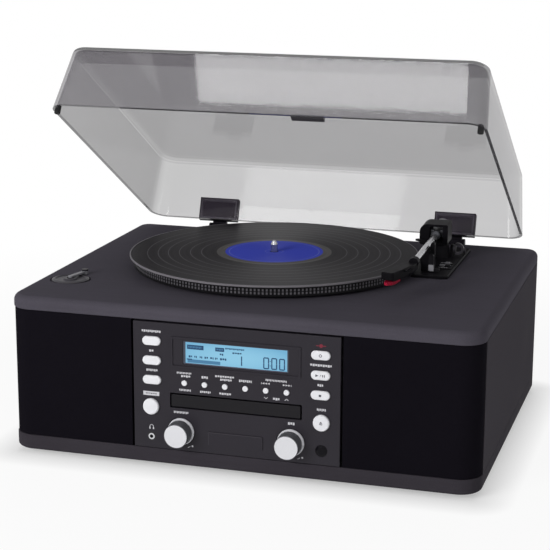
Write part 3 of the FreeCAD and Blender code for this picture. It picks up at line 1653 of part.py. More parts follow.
def adapter_lever():
    """A swing lever on a post; its bar reaches over the adapter's middle."""
    post = adapter_post()
    up = V(0, 0, 1)
    cap = rod(lever_post_radius, post + up * lever_gap, up, lever_post_height - lever_gap)
    foot = rod(lever_foot_radius, post - up * lever_foot_depth, up, lever_foot_depth + lever_gap + 0.5)
    z0 = deck_top - dish_depth + adapter_thickness + lever_gap
    reach = lever_post_distance + lever_bar_overshoot
    half = lever_bar_width / 2
    bar = flat_prism(
        [(-reach, -half, half - 0.01), (0, -half, 0), (0, half, 0), (-reach, half, half - 0.01)],
        z0, z0 + lever_bar_thickness)
    bar = turn(bar, V(0, 0, 0), up, lever_post_angle)
    bar.translate(V(post.x, post.y, 0))
    return fused([cap, foot, bar])


# Lid and hinges
def opened(shape):
    """From the lid's shut place to the open pose."""
    return turn(shape, V(0, hinge_pivot_y, hinge_pivot_z), V(-1, 0, 0), lid_open_angle)


def lid_section(share, inset):
    """The lid's outline at a share of its height, drawn in by inset."""
    z = lid_rim_z + share * lid_height
    width = lid_half_width - share * lid_side_draft - inset
    corners = rectangle(
        -width, width, lid_front_y + share * lid_front_draft + inset,
        lid_back_y - share * lid_back_draft - inset, lid_corner_radius - inset)
    return rounded_wire(corners, flat(z))


def lid_body(inset, top_share, edge_radius):
    body = Part.makeLoft([lid_section(0, inset), lid_section(top_share, inset)], True, True)
    return round_edges(body, edge_radius, at_height(lid_rim_z + top_share * lid_height))


def lid_shell():
    share = 1 - lid_wall / lid_height
    inner = lid_body(lid_wall, share, lid_top_edge_radius - lid_wall)
    return lid_body(0, 1, lid_top_edge_radius).cut(inner)


def lid():
    """The smoked cover, with the thick lip that a finger lifts."""
    back = lid_front_y + tab_depth
    tab = side_prism(
        [(lid_front_y + 0.2, lid_rim_z, 0), (back, lid_rim_z - tab_drop, 0.5),
         (back, lid_rim_z + tab_height, 1.0),
         (lid_front_y + lid_wall / 2, lid_rim_z + tab_height, 0)],
        tab_x - tab_half_width, tab_x + tab_half_width)
    return opened(fused([lid_shell(), tab]))


def lid_bumpers():
    """Two pads bonded in the rim's front corners; they reach the deck when the lid is shut."""
    low = deck_top + bumper_gap
    high = low + bumper_length
    profile = [(0, low, 0), (bumper_radius, low, 0.8), (bumper_radius, high, 0), (0, high, 0)]
    x = lid_half_width - bumper_side_inset
    shell = lid_shell()
    pads = [turned(profile, V(side * x, lid_front_y + bumper_front_inset, 0)).cut(shell) for side in (-1, 1)]
    return [opened(pad) for pad in pads]


def wall_y(height):
    """The outside of the lid's rear wall at a height above its rim."""
    return lid_back_y - lid_back_draft * height / lid_height


def lid_hinges():
    """Each side: the socket on the rear wall, framed towards the wall, and the leaf down to its knuckle."""
    solids = []
    for side in (-1, 1):
        x = side * hinge_x
        z0 = lid_rim_z
        z1 = lid_rim_z + socket_height
        left = x - socket_half_width
        right = x + socket_half_width
        thick = socket_thickness
        socket = side_prism(
            [(wall_y(0), z0, 0), (wall_y(0) + thick, z0, 1.5), (wall_y(socket_height) + thick, z1, 1.5),
             (wall_y(socket_height), z1, 0)], left, right)
        f = socket_frame
        pocket = side_prism(
            [(wall_y(f) - 1, z0 + f, 0), (wall_y(f) + socket_recess, z0 + f, 0),
             (wall_y(socket_height - f) + socket_recess, z1 - f, 0),
             (wall_y(socket_height - f) - 1, z1 - f, 0)],
            left + f, right - f)
        half = hinge_leg_half_width
        leg_y0 = hinge_pivot_y - hinge_leg_thickness / 2
        leg_y1 = hinge_pivot_y + hinge_leg_thickness / 2
        leg_top = hinge_pivot_z + hinge_leg_height
        leg = side_prism(
            [(leg_y0, hinge_pivot_z, 0), (leg_y1, hinge_pivot_z, 0), (leg_y1, leg_top, 2.0),
             (leg_y0, leg_top, 0)],
            x - half, x + half)
        bridge = block(x - half, x + half, wall_y(0) + 2, leg_y1 - 1, lid_rim_z + 3, leg_top - 2)
        knuckle_half = hinge_knuckle_half_width
        knuckle = rod(hinge_knuckle_radius, V(x - knuckle_half, hinge_pivot_y, hinge_pivot_z), V(1, 0, 0),
                      2 * knuckle_half)
        bore_start = V(x - socket_half_width, hinge_pivot_y, hinge_pivot_z)
        bore = rod(hinge_pin_radius + shaft_clearance, bore_start, V(1, 0, 0), 2 * socket_half_width)
        leaf = fused([socket.cut(pocket), leg, bridge, knuckle]).cut(bore)
        solids.append(opened(leaf))
    return solids


def hinge_brackets():
    """Each side: a U bracket in the deck's notch, and the pin through its ears."""
    solids = []
    low = deck_bottom + 0.1
    step = deck_top - hinge_bracket_drop
    y0 = back_y - hinge_bracket_depth
    y1 = hinge_pivot_y - hinge_ear_radius
    y2 = hinge_pivot_y + hinge_ear_radius
    z2 = hinge_pivot_z + hinge_ear_radius
    round_top = hinge_ear_radius - 0.05
    ear0 = hinge_knuckle_half_width + hinge_ear_gap
    ear1 = ear0 + hinge_ear_thickness
    profile = [
        (y0, low, 0), (y1, low, 3.0), (y2, step - 4, 3.0), (y2, z2, round_top), (y1, z2, round_top),
        (y1, step, 0.3), (y0, step, 1.0),
    ]
    for side in (-1, 1):
        x = side * hinge_x
        body = side_prism(profile, x - ear1, x + ear1)
        body = body.cut(block(x - ear0, x + ear0, y0 + hinge_bracket_wall, y2 + 1, low - 1, z2 + 1))
        pin = rod(hinge_pin_radius, V(x - ear1, hinge_pivot_y, hinge_pivot_z), V(1, 0, 0), 2 * ear1)
        solids.append(body.cut(pin))
        solids.append(pin)
    return solids


def front_buttons():
    """Every push button by name, with its cap."""
    names = ["mode_button_top", "mode_button_middle", "mode_button_bottom", "record_button", "play_button",
             "stop_button"]
    caps = {name: oblong_button(x, z) for name, (x, z) in zip(names, oblong_places())}
    for name, (x, z) in zip(["power_button", "eject_button"], round_places()):
        caps[name] = round_button(x, z, round_radius, round_proud, round_edge, round_travel)
    for index, (x, z) in enumerate(small_places()):
        caps[f"small_button_{index + 1}"] = round_button(x, z, small_radius, small_proud, small_edge,
                                                         small_travel)
    return caps


parts = {
    "top_deck": top_deck(),
    "cabinet_carcass": cabinet_carcass(),
    "base_board": base_board(),
    "rear_panel": rear_panel(),
    "feet": feet(),
    "speaker_grilles": speaker_grilles(),
    "speakers": speakers(),
    "front_panel": front_panel(),
    "lcd_display": lcd_display(),
    "headphone_jack": headphone_jack(),
    "remote_sensor": remote_sensor(),
    "circuit_boards": circuit_boards(),
    "level_knob": knob(*knob_places()[0]),
    "volume_knob": knob(*knob_places()[1]),
    "tray_bezel": tray_bezel(),
    "cd_tray": cd_tray(),
    "loader_chassis": loader_chassis(),
    "loading_gear": loading_gear(),
    "disc_hub": disc_hub(),
    "optical_pickup": optical_pickup(),
    "platter": platter(),
    "record": record(),
    "spindle": spindle(),
    "turntable_chassis": turntable_chassis(),
    "motor": motor(),
    "motor_pulley": motor_pulley(),
    "drive_belt": drive_belt(),
    "tonearm_base": tonearm_base(),
    "arm_gimbal": arm_gimbal(),
    "arm_tube": arm_tube(),
    "arm_counterweight": arm_counterweight(),
    "headshell": headshell(),
    "cartridge": cartridge(),
    "stylus": stylus(),
    "rest_clip": rest_clip(),
    "cue_lever": cue_lever(),
    "cue_platform": cue_platform(),
    "speed_switch": slider(speed_y, speed_offset),
    "autostop_switch": slider(autostop_y, autostop_offset),
    "adapter": adapter(),
    "adapter_lever": adapter_lever(),
    "lid": lid(),
    "lid_bumpers": lid_bumpers(),
    "lid_hinges": lid_hinges(),
    "hinge_brackets": hinge_brackets(),
    "rear_sockets": rear_sockets(),
}
parts.update(front_buttons())

os.makedirs("parts", exist_ok=True)
for name, shape in parts.items():
    if isinstance(shape, list):
        shape = Part.makeCompound(shape)
    shape.exportStep(f"parts/{name}.step")
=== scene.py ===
"""Looks of the record console: finishes, printed marks, display, screws, light and camera."""
import math

import bmesh
import bpy
from mathutils import Matrix, Vector


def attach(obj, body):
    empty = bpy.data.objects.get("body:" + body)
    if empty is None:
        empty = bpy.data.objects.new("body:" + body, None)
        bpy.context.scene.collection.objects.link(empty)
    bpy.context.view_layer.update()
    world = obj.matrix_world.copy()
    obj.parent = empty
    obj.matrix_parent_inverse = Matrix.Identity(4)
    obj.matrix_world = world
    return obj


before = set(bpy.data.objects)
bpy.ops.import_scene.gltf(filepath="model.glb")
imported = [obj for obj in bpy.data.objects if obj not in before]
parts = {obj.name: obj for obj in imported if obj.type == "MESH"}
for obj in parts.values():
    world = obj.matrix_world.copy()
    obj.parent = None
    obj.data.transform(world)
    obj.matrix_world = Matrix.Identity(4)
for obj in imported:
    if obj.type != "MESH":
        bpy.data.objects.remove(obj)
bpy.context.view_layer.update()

# Sizes in millimetres: where the solids lie and where their finishes change
panel_y = -182.5
display_y = -181.8
lit_width = (-49.4, 50.6)
lit_height = (108.3, 128.8)
glow_middle_z = 117.0
glow_half = (49.0, 11.0)
deck_z = 160.5
spindle = (-21.8, 17.6)
record_face_z = 174.2
record_lip_radius = 149.2
label_radius = 51.0
label_rings = ((46.6, 47.3), (9.0, 9.6))
label_hole_radius = 4.6
groove_pitch = 1.5
lead_out_radius = 60.0
playing_radii = (63.0, 146.5)
track_gaps = (76.0, 87.5, 99.0, 110.5, 121.0, 132.0)
platter_rim_radius = 143.0
strobe_rows = ((165.1, 167.4), (168.3, 170.6))
strobe_count = 235.0
thread_pitch = 1.1
knob_x = 54.5
knob_z = 39.5
knob_face_y = -198.5
knob_face_radius = 11.1
knob_skirt_radius = 12.1
knob_flutes = 60.0
oblong_x = 83.1
oblong_z = (127.4, 108.15, 88.9)
oblong_face_y = -184.7
button_flank_y = -183.1
round_x = 84.3
round_z = 62.2
round_face_y = -185.5
small_x = [-50.4 + 20.16 * step for step in range(6)]
small_z = 88.4
jack = (-84.3, 32.0)
lid_pivot = (185.0, 160.6)
lid_angle = math.radians(30.1)
lid_rim = 165.2
lid_height = 67.6
lid_bend = 5.0
lid_reach = 335.8
lid_back_bend_reach = 300.0
hinge_x = 138.0
hinge_face = (19.2, 3.8, 21.2)  # half width, bottom and top on the closed lid
hinge_frame = (21.8, 1.0, 23.9)
rear_y = 182.5
sockets_at = (96.0, 58.0)
socket_half_pitch = 9.0
insulator_radius = 3.3
inlet_at = (-150.0, 52.0)
pin_half_pitch = 4.3
pin_half = 1.6
rear_screw_x = (-212, -70, 70, 212)
rear_screw_z = (27, 140)
switch_plate_z = deck_z + 3.7
jaw_x = 146.6
jaw_z = 171.5
lever_cap_z = 164.3
ink_depth = 0.05
symbol_depth = 0.03
screw_steps = 20
white = (1, 1, 1, 1)
square = ((-1, -1), (1, -1), (1, 1), (-1, 1))


def tone(red, green, blue):
    """A colour as the eye reads it, 0 to 255, in the linear light that shaders use."""
    def linear(value):
        share = value / 255
        return share / 12.92 if share <= 0.04045 else ((share + 0.055) / 1.055) ** 2.4
    return (linear(red), linear(green), linear(blue), 1.0)


# Finishes
class Signal:
    """A value on its way through a finish; Python's arithmetic adds the nodes."""

    def __init__(self, finish, socket):
        self.finish = finish
        self.socket = socket

    def math(self, operation, *values):
        return self.finish.node("Math", {"operation": operation}, dict(enumerate(values)))

    def __add__(self, other):
        return self.math("ADD", self, other)

    def __radd__(self, other):
        return self.math("ADD", other, self)

    def __sub__(self, other):
        return self.math("SUBTRACT", self, other)

    def __rsub__(self, other):
        return self.math("SUBTRACT", other, self)

    def __mul__(self, other):
        return self.math("MULTIPLY", self, other)

    def __rmul__(self, other):
        return self.math("MULTIPLY", other, self)

    def __truediv__(self, other):
        return self.math("DIVIDE", self, other)

    def __pow__(self, other):
        return self.math("POWER", self, other)

    def __abs__(self):
        return self.math("ABSOLUTE", self)

    def __gt__(self, other):
        return self.math("GREATER_THAN", self, other)

    def __lt__(self, other):
        return self.math("LESS_THAN", self, other)

    def within(self, low, high):
        return (self > low) * (self < high)

    def sine(self):
        return self.math("SINE", self)

    def waves(self, pitch):
        """A wave that repeats every so many millimetres."""
        return (self * (2 * math.pi / pitch)).sine()

    def capped(self):
        return self.math("MINIMUM", self.math("MAXIMUM", self, 0.0), 1.0)


class NodeTree:
    """The nodes of a material or of the world."""

    def __init__(self, tree):
        self.tree = tree

    def node(self, kind, settings=None, inputs=None, output=0):
        made = self.tree.nodes.new("ShaderNode" + kind)
        for key, value in (settings or {}).items():
            setattr(made, key, value)
        for key, value in (inputs or {}).items():
            self.set(made.inputs[key], value)
        return Signal(self, made.outputs[output])

    def set(self, socket, value):
        if isinstance(value, Signal):
            self.tree.links.new(value.socket, socket)
        else:
            socket.default_value = value

    def show(self, signal):
        """Send this to the tree's output."""
        output = next(node for node in self.tree.nodes if node.type.startswith("OUTPUT"))
        self.tree.links.new(signal.socket, output.inputs["Surface"])


class Finish(NodeTree):
    """One procedural material. Constants go on the shader's own sockets."""

    def __init__(self, name, **constants):
        self.material = bpy.data.materials.new(name)
        self.material.use_nodes = True
        super().__init__(self.material.node_tree)
        self.shader = self.tree.nodes["Principled BSDF"]
        for key, value in constants.items():
            self.shader.inputs[key.replace("_", " ")].default_value = value
        self.where = None

    def feed(self, **inputs):
        for key, value in inputs.items():
            self.set(self.shader.inputs[key.replace("_", " ")], value)
        return self

    def coordinates(self):
        if self.where is None:
            self.where = self.node("TexCoord", output=3)
        return self.where

    def axes(self):
        """The place on the object, in millimetres."""
        vector = self.coordinates()
        split = self.node("SeparateXYZ", None, {0: vector})
        outputs = split.socket.node.outputs
        return tuple(Signal(self, outputs[axis]) * 1000 for axis in range(3))

    def noise(self, size, detail=2.0):
        """Noise with features about this many millimetres across."""
        return self.node("TexNoise", None, {
            "Vector": self.coordinates(), "Scale": 1000 / size, "Detail": detail})

    def cells(self, size):
        return self.node("TexVoronoi", None, {"Vector": self.coordinates(), "Scale": 1000 / size})

    def mix(self, share, first, second):
        return self.node("Mix", {"data_type": "RGBA"}, {0: share, 6: first, 7: second}, 2)

    def blend_values(self, share, first, second):
        return first + (second - first) * share

    def bump(self, height, depth):
        """Relief of this many millimetres."""
        return self.feed(Normal=self.node("Bump", None, {
            "Height": height, "Distance": depth / 1000, "Strength": 1.0}))

    def over(self, share, colour, roughness, alpha):
        """A second, dull coat wherever the share is one."""
        coat = self.node("BsdfPrincipled", None, {
            "Base Color": colour, "Roughness": roughness, "Specular IOR Level": 0.02, "Alpha": alpha})
        return self.blend_shaders(share, coat)

    def blend_shaders(self, share, second):
        """Show the second shader instead of this finish's own, by this share."""
        self.show(self.node("MixShader", None, {
            0: share, 1: Signal(self, self.shader.outputs[0]), 2: second}))
        return self

    def round(self, centre, first, second):
        """Radius and angle about a centre."""
        u, v = first - centre[0], second - centre[1]
        return (u * u + v * v) ** 0.5, self.node("Math", {"operation": "ARCTAN2"}, {0: v, 1: u})

    def on_closed_lid(self):
        """Distance before the pivot and height over the rim on the closed lid; the solids lie opened."""
        x, y, z = self.axes()
        sine, cosine = math.sin(lid_angle), math.cos(lid_angle)
        before = (z - lid_pivot[1]) * sine - (y - lid_pivot[0]) * cosine
        height = (y - lid_pivot[0]) * sine + (z - lid_pivot[1]) * cosine - (lid_rim - lid_pivot[1])
        return before, height

    def on(self, *names):
        for name in names:
            target = parts[name]
            if not target.material_slots:
                target.data.materials.append(self.material)
            for slot in target.material_slots:
                slot.material = self.material
        return self


def moulded(name, colour, roughness, grain=0.5, relief=0.02, wear=0.12, **constants):
    """Moulded plastic or paint: a fine grain, a cloudy sheen and a slight change of tone."""
    finish = Finish(name, **constants)
    fine = finish.noise(grain, 3.0)
    cloud = finish.noise(grain * 45, 2.0)
    darker = tuple(channel * (1 - wear) for channel in colour[:3]) + (1.0,)
    lighter = tuple(min(1.0, channel * (1 + wear)) for channel in colour[:3]) + (1.0,)
    finish.feed(
        Base_Color=finish.mix(finish.blend_values(0.5, cloud, fine), darker, lighter),
        Roughness=finish.blend_values(cloud, roughness * 0.9, roughness * 1.1))
    return finish.bump(fine, relief)


def wrap_finish(name, low, high):
    """Black grained wrap over board: small pebbles, a long faint figure and a satin sheen."""
    finish = Finish(name, Specular_IOR_Level=0.01)
    pebbles = finish.cells(0.9)
    cloud = finish.noise(55, 3.0)
    streak = finish.node("TexNoise", None, {
        "Vector": finish.node("Mapping", None, {
            "Vector": finish.coordinates(), "Scale": (4.0, 90.0, 90.0)}),
        "Scale": 4.0, "Detail": 4.0})
    share = (cloud * 0.5 + streak * 0.35 + pebbles * 0.35).capped()
    colour = finish.mix(share, low, high)
    finish.feed(Base_Color=colour, Roughness=0.62 + cloud * 0.14)
    return finish.bump(pebbles, 0.06)


def cloth_finish():
    """Tight black speaker cloth: crossed threads, each one round."""
    finish = Finish("grille_cloth", Specular_IOR_Level=0.01)
    x, y, z = finish.axes()
    along = x + y
    warp = along.waves(thread_pitch)
    weft = z.waves(thread_pitch)
    weave = warp * weft * 0.5 + 0.5
    fluff = finish.noise(0.7, 3.0)
    cloud = finish.noise(40, 2.0)
    share = (weave * 0.5 + fluff * 0.3 + cloud * 0.2).capped()
    finish.feed(Base_Color=finish.mix(share, tone(14, 12, 17), tone(26, 24, 30)),
                Roughness=0.85 + fluff * 0.1)
    return finish.bump(weave * 0.8 + fluff * 0.3, 0.16)


def panel_finish(name="panel_grey", low=tone(31, 28, 34), high=tone(46, 43, 50)):
    """Dark metallic lacquer: fine flakes under a satin top coat."""
    finish = Finish(name, Specular_IOR_Level=0.25, Metallic=0.1)
    flakes = finish.cells(0.35)
    cloud = finish.noise(70, 2.0)
    share = (flakes * 0.6 + cloud * 0.4).capped()
    finish.feed(Base_Color=finish.mix(share, low, high),
                Roughness=0.36 + flakes * 0.16)
    return finish.bump(flakes, 0.012)


def display_finish():
    """The lit window: a pale blue field, brighter in its middle, in a dark surround."""
    finish = Finish("display", Specular_IOR_Level=0.4, Emission_Strength=0.88)
    x, y, z = finish.axes()
    lit = x.within(*lit_width) * z.within(*lit_height) * (y < (display_y + 0.4))
    across = (abs(x) / glow_half[0]) ** 2.0
    up = (abs(z - glow_middle_z) / glow_half[1]) ** 2.0
    share = (across * 0.5 + up * 0.5).capped()
    dots = finish.cells(0.5) * 0.25
    field = finish.mix((share + dots).capped(), tone(146, 206, 234), tone(112, 178, 214))
    rim = (abs(x) > glow_half[0])
    surround = finish.mix(rim, tone(70, 68, 84), tone(64, 70, 84))
    finish.feed(Base_Color=finish.mix(lit, surround, tone(30, 46, 56)),
                Emission_Color=finish.mix(lit, tone(10, 12, 16), field),
                Roughness=0.16 + finish.noise(20) * 0.06)
    return finish.bump(finish.noise(4.0), 0.002)


def button_finish():
    """Satin silver-white button plastic with a darker, polished flank."""
    finish = Finish("button_white", Specular_IOR_Level=0.5)
    x, y, z = finish.axes()
    flank = (y > button_flank_y)
    fine = finish.noise(0.4, 3.0)
    face = finish.mix(fine, tone(228, 228, 233), tone(244, 244, 247))
    finish.feed(Base_Color=finish.mix(flank, face, tone(150, 150, 156)), Roughness=0.34 + fine * 0.12)
    return finish.bump(fine, 0.008)


def knob_finish(name, centre_x):
    """A turned knob: spun bright face, fluted body and a polished skirt; the body's darker grey is painted
    shade and its lighter flute stripes are painted highlights.
    """
    finish = Finish(name, Specular_IOR_Level=0.5)
    x, y, z = finish.axes()
    radius, angle = finish.round((centre_x, knob_z), x, z)
    rings = (radius * 9.0).sine() * 0.5 + 0.5
    flutes = (angle * knob_flutes).sine() * 0.5 + 0.5
    face = (y < (knob_face_y + 1.2)) * (radius < knob_face_radius)
    skirt = (radius > knob_skirt_radius)
    # The silver body is painted a darker grey as shade, with lighter flute stripes as painted highlights.
    body = finish.mix(flutes, tone(84, 85, 90), tone(150, 151, 156))
    spun = finish.mix(rings, tone(216, 216, 220), tone(236, 236, 240))
    colour = finish.mix(face, body, spun)
    colour = finish.mix(skirt, colour, tone(228, 228, 233))
    finish.feed(Base_Color=colour, Metallic=(1 - face) * (1 - skirt) * 0.55,
                Roughness=finish.blend_values(face, 0.30, 0.42))
    relief = face * rings * 0.12 + (1 - face) * (1 - skirt) * flutes
    return finish.bump(relief, 0.10)


def platter_finish():
    """Satin black casting; its rim carries bright strobe ribs."""
    finish = Finish("platter_black", Specular_IOR_Level=0.15)
    x, y, z = finish.axes()
    radius, angle = finish.round(spindle, x, y)
    rows = z.within(*strobe_rows[0]) + z.within(*strobe_rows[1])
    ribs = ((angle * strobe_count).sine() > 0.1) * rows * (radius > platter_rim_radius)
    fine = finish.noise(0.6, 3.0)
    base = finish.mix(fine, tone(13, 12, 14), tone(22, 21, 24))
    finish.feed(Base_Color=finish.mix(ribs, base, tone(108, 106, 111)),
                Metallic=ribs * 0.5, Roughness=0.42 + fine * 0.12)
    return finish.bump(fine * 0.1 + ribs, 0.15)


def vinyl_finish():
    """Grooved disc: close grooves in bands, smooth rings between tracks, and a paper label; the vinyl's faint
    concentric bands, its lighter lead-out and track gaps are painted sheen, and its pale lip is a painted
    highlight.
    """
    finish = Finish("vinyl", Specular_IOR_Level=0.03, Anisotropic=0.9)
    x, y, z = finish.axes()
    radius = finish.round(spindle, x, y)[0]
    label = (radius < label_radius) * (z > record_face_z)
    playing = radius.within(*playing_radii)
    gap = 0.0
    for place in track_gaps:
        gap = gap + radius.within(place - 0.5, place + 0.5)
    gap = gap * playing
    slow = radius.waves(5.3) * radius.waves(13.7)
    fine = finish.node("TexNoise", {"noise_dimensions": "1D"}, {"W": radius * 0.42, "Detail": 3.0})
    painted_lead_out_sheen = radius.within(label_radius, lead_out_radius)
    lip = (radius > record_lip_radius)
    # The vinyl is one black: its concentric bands, the lighter lead-out and the pale track gaps are painted
    # sheen, and the pale lip is a painted highlight.
    black = finish.mix((slow * 0.3 + fine * 0.7).capped(), tone(14, 11, 16), tone(34, 31, 36))
    black = finish.mix(painted_lead_out_sheen, black, tone(80, 78, 77))
    black = finish.mix(gap * 0.6, black, tone(96, 93, 98))
    black = finish.mix(lip, black, tone(122, 119, 124))
    paper = finish.noise(0.8, 4.0)
    blue = finish.mix(paper, tone(66, 78, 190), tone(78, 90, 214))
    ring = radius.within(*label_rings[0]) + radius.within(*label_rings[1])
    blue = finish.mix(ring.capped(), blue, tone(120, 130, 205))
    blue = finish.mix(radius < label_hole_radius, blue, tone(26, 26, 30))
    finish.feed(Base_Color=finish.mix(label, black, blue),
                Roughness=finish.blend_values(label, 0.3, 0.62))
    return finish.bump(radius.waves(groove_pitch) * playing, 0.01)


def brushed(name, colour, roughness, line=0.4):
    """Brushed or turned metal: fine lines along the length and a little tarnish."""
    finish = Finish(name, Metallic=1.0)
    lines = finish.node("TexNoise", None, {
        "Vector": finish.node("Mapping", None, {
            "Vector": finish.coordinates(), "Scale": (1.0, 0.06, 1.0)}),
        "Scale": 1000 / line, "Detail": 3.0})
    cloud = finish.noise(9.0, 2.0)
    darker = tuple(channel * 0.8 for channel in colour[:3]) + (1.0,)
    finish.feed(Base_Color=finish.mix((lines * 0.6 + cloud * 0.4).capped(), darker, colour),
                Roughness=roughness * 0.8 + cloud * roughness * 0.4)
    return finish.bump(lines, 0.006)


def lid_finish():
    """Smoked acrylic: clear sheet, darker where it is seen along, with a polished rim; the dull dark coat on
    the front bend is painted shade, and the back bend is a little clearer.
    """
    finish = Finish("smoked", Specular_IOR_Level=0.55, Roughness=0.04)
    before, height = finish.on_closed_lid()
    edge = (height < 0.5)
    lip = (height < -0.3)
    bend_start = lid_height - lid_bend
    front_bend_painted_shade = (height > (bend_start + 0.3)) * (before > (lid_reach - lid_bend))
    back_bend = height.within(bend_start, bend_start + 2.2) * (before < lid_back_bend_reach)
    roof = (height > (bend_start - 0.6))
    facing = finish.node("LayerWeight", None, {"Blend": 0.35}, 1)
    haze = finish.noise(60.0, 2.0)
    alpha = 0.25 + (facing ** 2.0) * 0.70 + roof * 0.11 + haze * 0.02
    alpha = finish.blend_values(back_bend, alpha, 0.27)
    alpha = finish.blend_values(edge, alpha, 0.86)
    finish.feed(Base_Color=finish.mix(edge, tone(70, 60, 76), tone(60, 58, 63)),
                Alpha=(alpha + lip * 0.1).capped())
    # The dull dark coat over the front bend is painted shade.
    return finish.over(front_bend_painted_shade, tone(24, 22, 27), 0.5, 0.62)


def hinge_finish():
    """Black hinge moulding; the frame round each socket's face is a shade lighter, a painted highlight on its
    bevel.
    """
    finish = Finish("hinge_black", Specular_IOR_Level=0.03)
    x, y, z = finish.axes()
    before, height = finish.on_closed_lid()
    across = abs(abs(x) - hinge_x)
    inner, outer = ((across < half) * height.within(low, high)
                    for half, low, high in (hinge_face, hinge_frame))
    fine = finish.noise(0.6, 3.0)
    black = finish.mix(fine, tone(24, 22, 27), tone(34, 32, 37))
    # The lighter frame round each socket's face is a painted highlight.
    finish.feed(Base_Color=finish.mix((outer - inner).capped(), black, tone(106, 102, 110)),
                Roughness=0.38 + fine * 0.1)
    return finish.bump(fine, 0.03)


def clip_finish():
    """The arm's clip: black stem, light grey jaw."""
    finish = Finish("clip_grey", Specular_IOR_Level=0.1)
    x, y, z = finish.axes()
    fine = finish.noise(0.5, 3.0)
    jaw = finish.mix(fine, tone(136, 135, 140), tone(160, 159, 164))
    finish.feed(Base_Color=finish.mix((z < jaw_z) * (x < jaw_x), tone(26, 25, 28), jaw),
                Roughness=0.4 + fine * 0.1)
    return finish.bump(fine, 0.012)


def lever_finish():
    """The adapter's swing lever: satin bar with a dark cap over its post."""
    finish = Finish("lever_cap_grey", Specular_IOR_Level=0.08)
    x, y, z = finish.axes()
    fine = finish.noise(0.5, 3.0)
    bar_tone = finish.mix(fine, tone(122, 122, 127), tone(142, 142, 147))
    finish.feed(Base_Color=finish.mix(z > lever_cap_z, bar_tone, tone(38, 36, 40)),
                Roughness=0.38 + fine * 0.1)
    return finish.bump(fine, 0.012)


def socket_finish():
    """Black moulding with plated barrels, coloured rings and bright pins."""
    finish = Finish("socket_black", Specular_IOR_Level=0.4)
    x, y, z = finish.axes()
    fine = finish.noise(0.5, 3.0)
    colour = finish.mix(fine, tone(20, 20, 21), tone(34, 34, 36))
    barrel = (y > (rear_y + 0.3)) * (x > 60.0)
    red_side = (x > sockets_at[0])
    ring = finish.mix(red_side, tone(214, 212, 206), tone(170, 28, 30))
    near = abs(abs(x - sockets_at[0]) - socket_half_pitch)
    high = abs(abs(z - sockets_at[1]) - socket_half_pitch)
    centre = (near * near + high * high) ** 0.5
    insulator = barrel * (centre < insulator_radius)
    colour = finish.mix(barrel, colour, tone(206, 204, 198))
    colour = finish.mix(insulator, colour, ring)
    beside_pin = abs(abs(x - inlet_at[0]) - pin_half_pitch)
    pins = (x < -100.0) * (abs(z - inlet_at[1]) < pin_half) * (beside_pin < pin_half) * (y > 165.0)
    colour = finish.mix(pins, colour, tone(214, 212, 206))
    metal = (barrel * (1 - insulator) + pins).capped()
    finish.feed(Base_Color=colour, Metallic=metal, Roughness=0.45 - metal * 0.2)
    return finish.bump(fine, 0.02)


# The carcass and base board take the deck's wrap in darker tones: painted shade on the side and lower faces.
wrap_finish("deck_wrap", tone(66, 63, 70), tone(84, 81, 90)).on("top_deck")
wrap_finish("cabinet_wrap_painted_shade", tone(50, 46, 51), tone(64, 61, 67)).on("cabinet_carcass", "base_board")
moulded("black_board", tone(30, 29, 31), 0.72, 0.8, 0.05).on("rear_panel")
moulded("rubber", tone(24, 24, 25), 0.85, 0.9, 0.05).on("feet", "drive_belt", "lid_bumpers")
cloth_finish().on("speaker_grilles")
moulded("speaker_black", tone(34, 34, 36), 0.6, 1.2, 0.05).on("speakers", "optical_pickup")
panel_finish().on("front_panel")
panel_finish("bezel_grey", tone(12, 10, 14), tone(20, 18, 23)).on("tray_bezel")
display_finish().on("lcd_display")
brushed("chrome", tone(214, 214, 218), 0.14, line=0.8).on("headphone_jack")
moulded("sensor_black", tone(13, 11, 16), 0.3, 0.6, 0.002, Specular_IOR_Level=0.1).on("remote_sensor")
moulded("board_green", tone(36, 92, 58), 0.5, 2.2, 0.04, 0.3).on("circuit_boards")
button_finish().on(
    "mode_button_top", "mode_button_middle", "mode_button_bottom", "power_button", "record_button",
    "play_button", "stop_button", "eject_button", *[f"small_button_{number + 1}" for number in range(6)])
knob_finish("knob_silver_left", -knob_x).on("level_knob")
knob_finish("knob_silver_right", knob_x).on("volume_knob")
moulded("tray_black", tone(24, 23, 26), 0.42, 0.7, 0.03, Specular_IOR_Level=0.2).on(
    "cd_tray", "loader_chassis", "disc_hub")
moulded("gear_white", tone(222, 220, 208), 0.5, 0.8, 0.02).on("loading_gear")
platter_finish().on("platter")
vinyl_finish().on("record")
brushed("steel", tone(196, 196, 200), 0.22).on("spindle")
brushed("zinc", tone(150, 152, 156), 0.42).on("turntable_chassis", "motor")
brushed("weight_steel", tone(96, 97, 101), 0.34).on("arm_counterweight")
brushed("brass", tone(196, 166, 96), 0.26).on("motor_pulley")
moulded("arm_black", tone(21, 20, 23), 0.42, 0.5, 0.03, Specular_IOR_Level=0.03).on(
    "tonearm_base", "arm_gimbal", "headshell", "cartridge", "cue_platform")
brushed("arm_metal", tone(226, 226, 230), 0.24, line=0.5).on("arm_tube")
moulded("stylus_red", tone(160, 22, 52), 0.3, 0.8, 0.004, Specular_IOR_Level=0.2).on("stylus")
moulded("cue_grey", tone(66, 64, 69), 0.4, 0.5, 0.012, Specular_IOR_Level=0.2).on("cue_lever")
clip_finish().on("rest_clip")
lever_finish().on("adapter_lever")
moulded("lever_grey", tone(134, 134, 138), 0.42, 0.5, 0.012, Specular_IOR_Level=0.1).on(
    "speed_switch", "autostop_switch")
moulded("adapter_grey", tone(66, 64, 69), 0.4, 0.6, 0.012, Specular_IOR_Level=0.08).on("adapter")
lid_finish().on("lid")
hinge_finish().on("lid_hinges", "hinge_brackets")
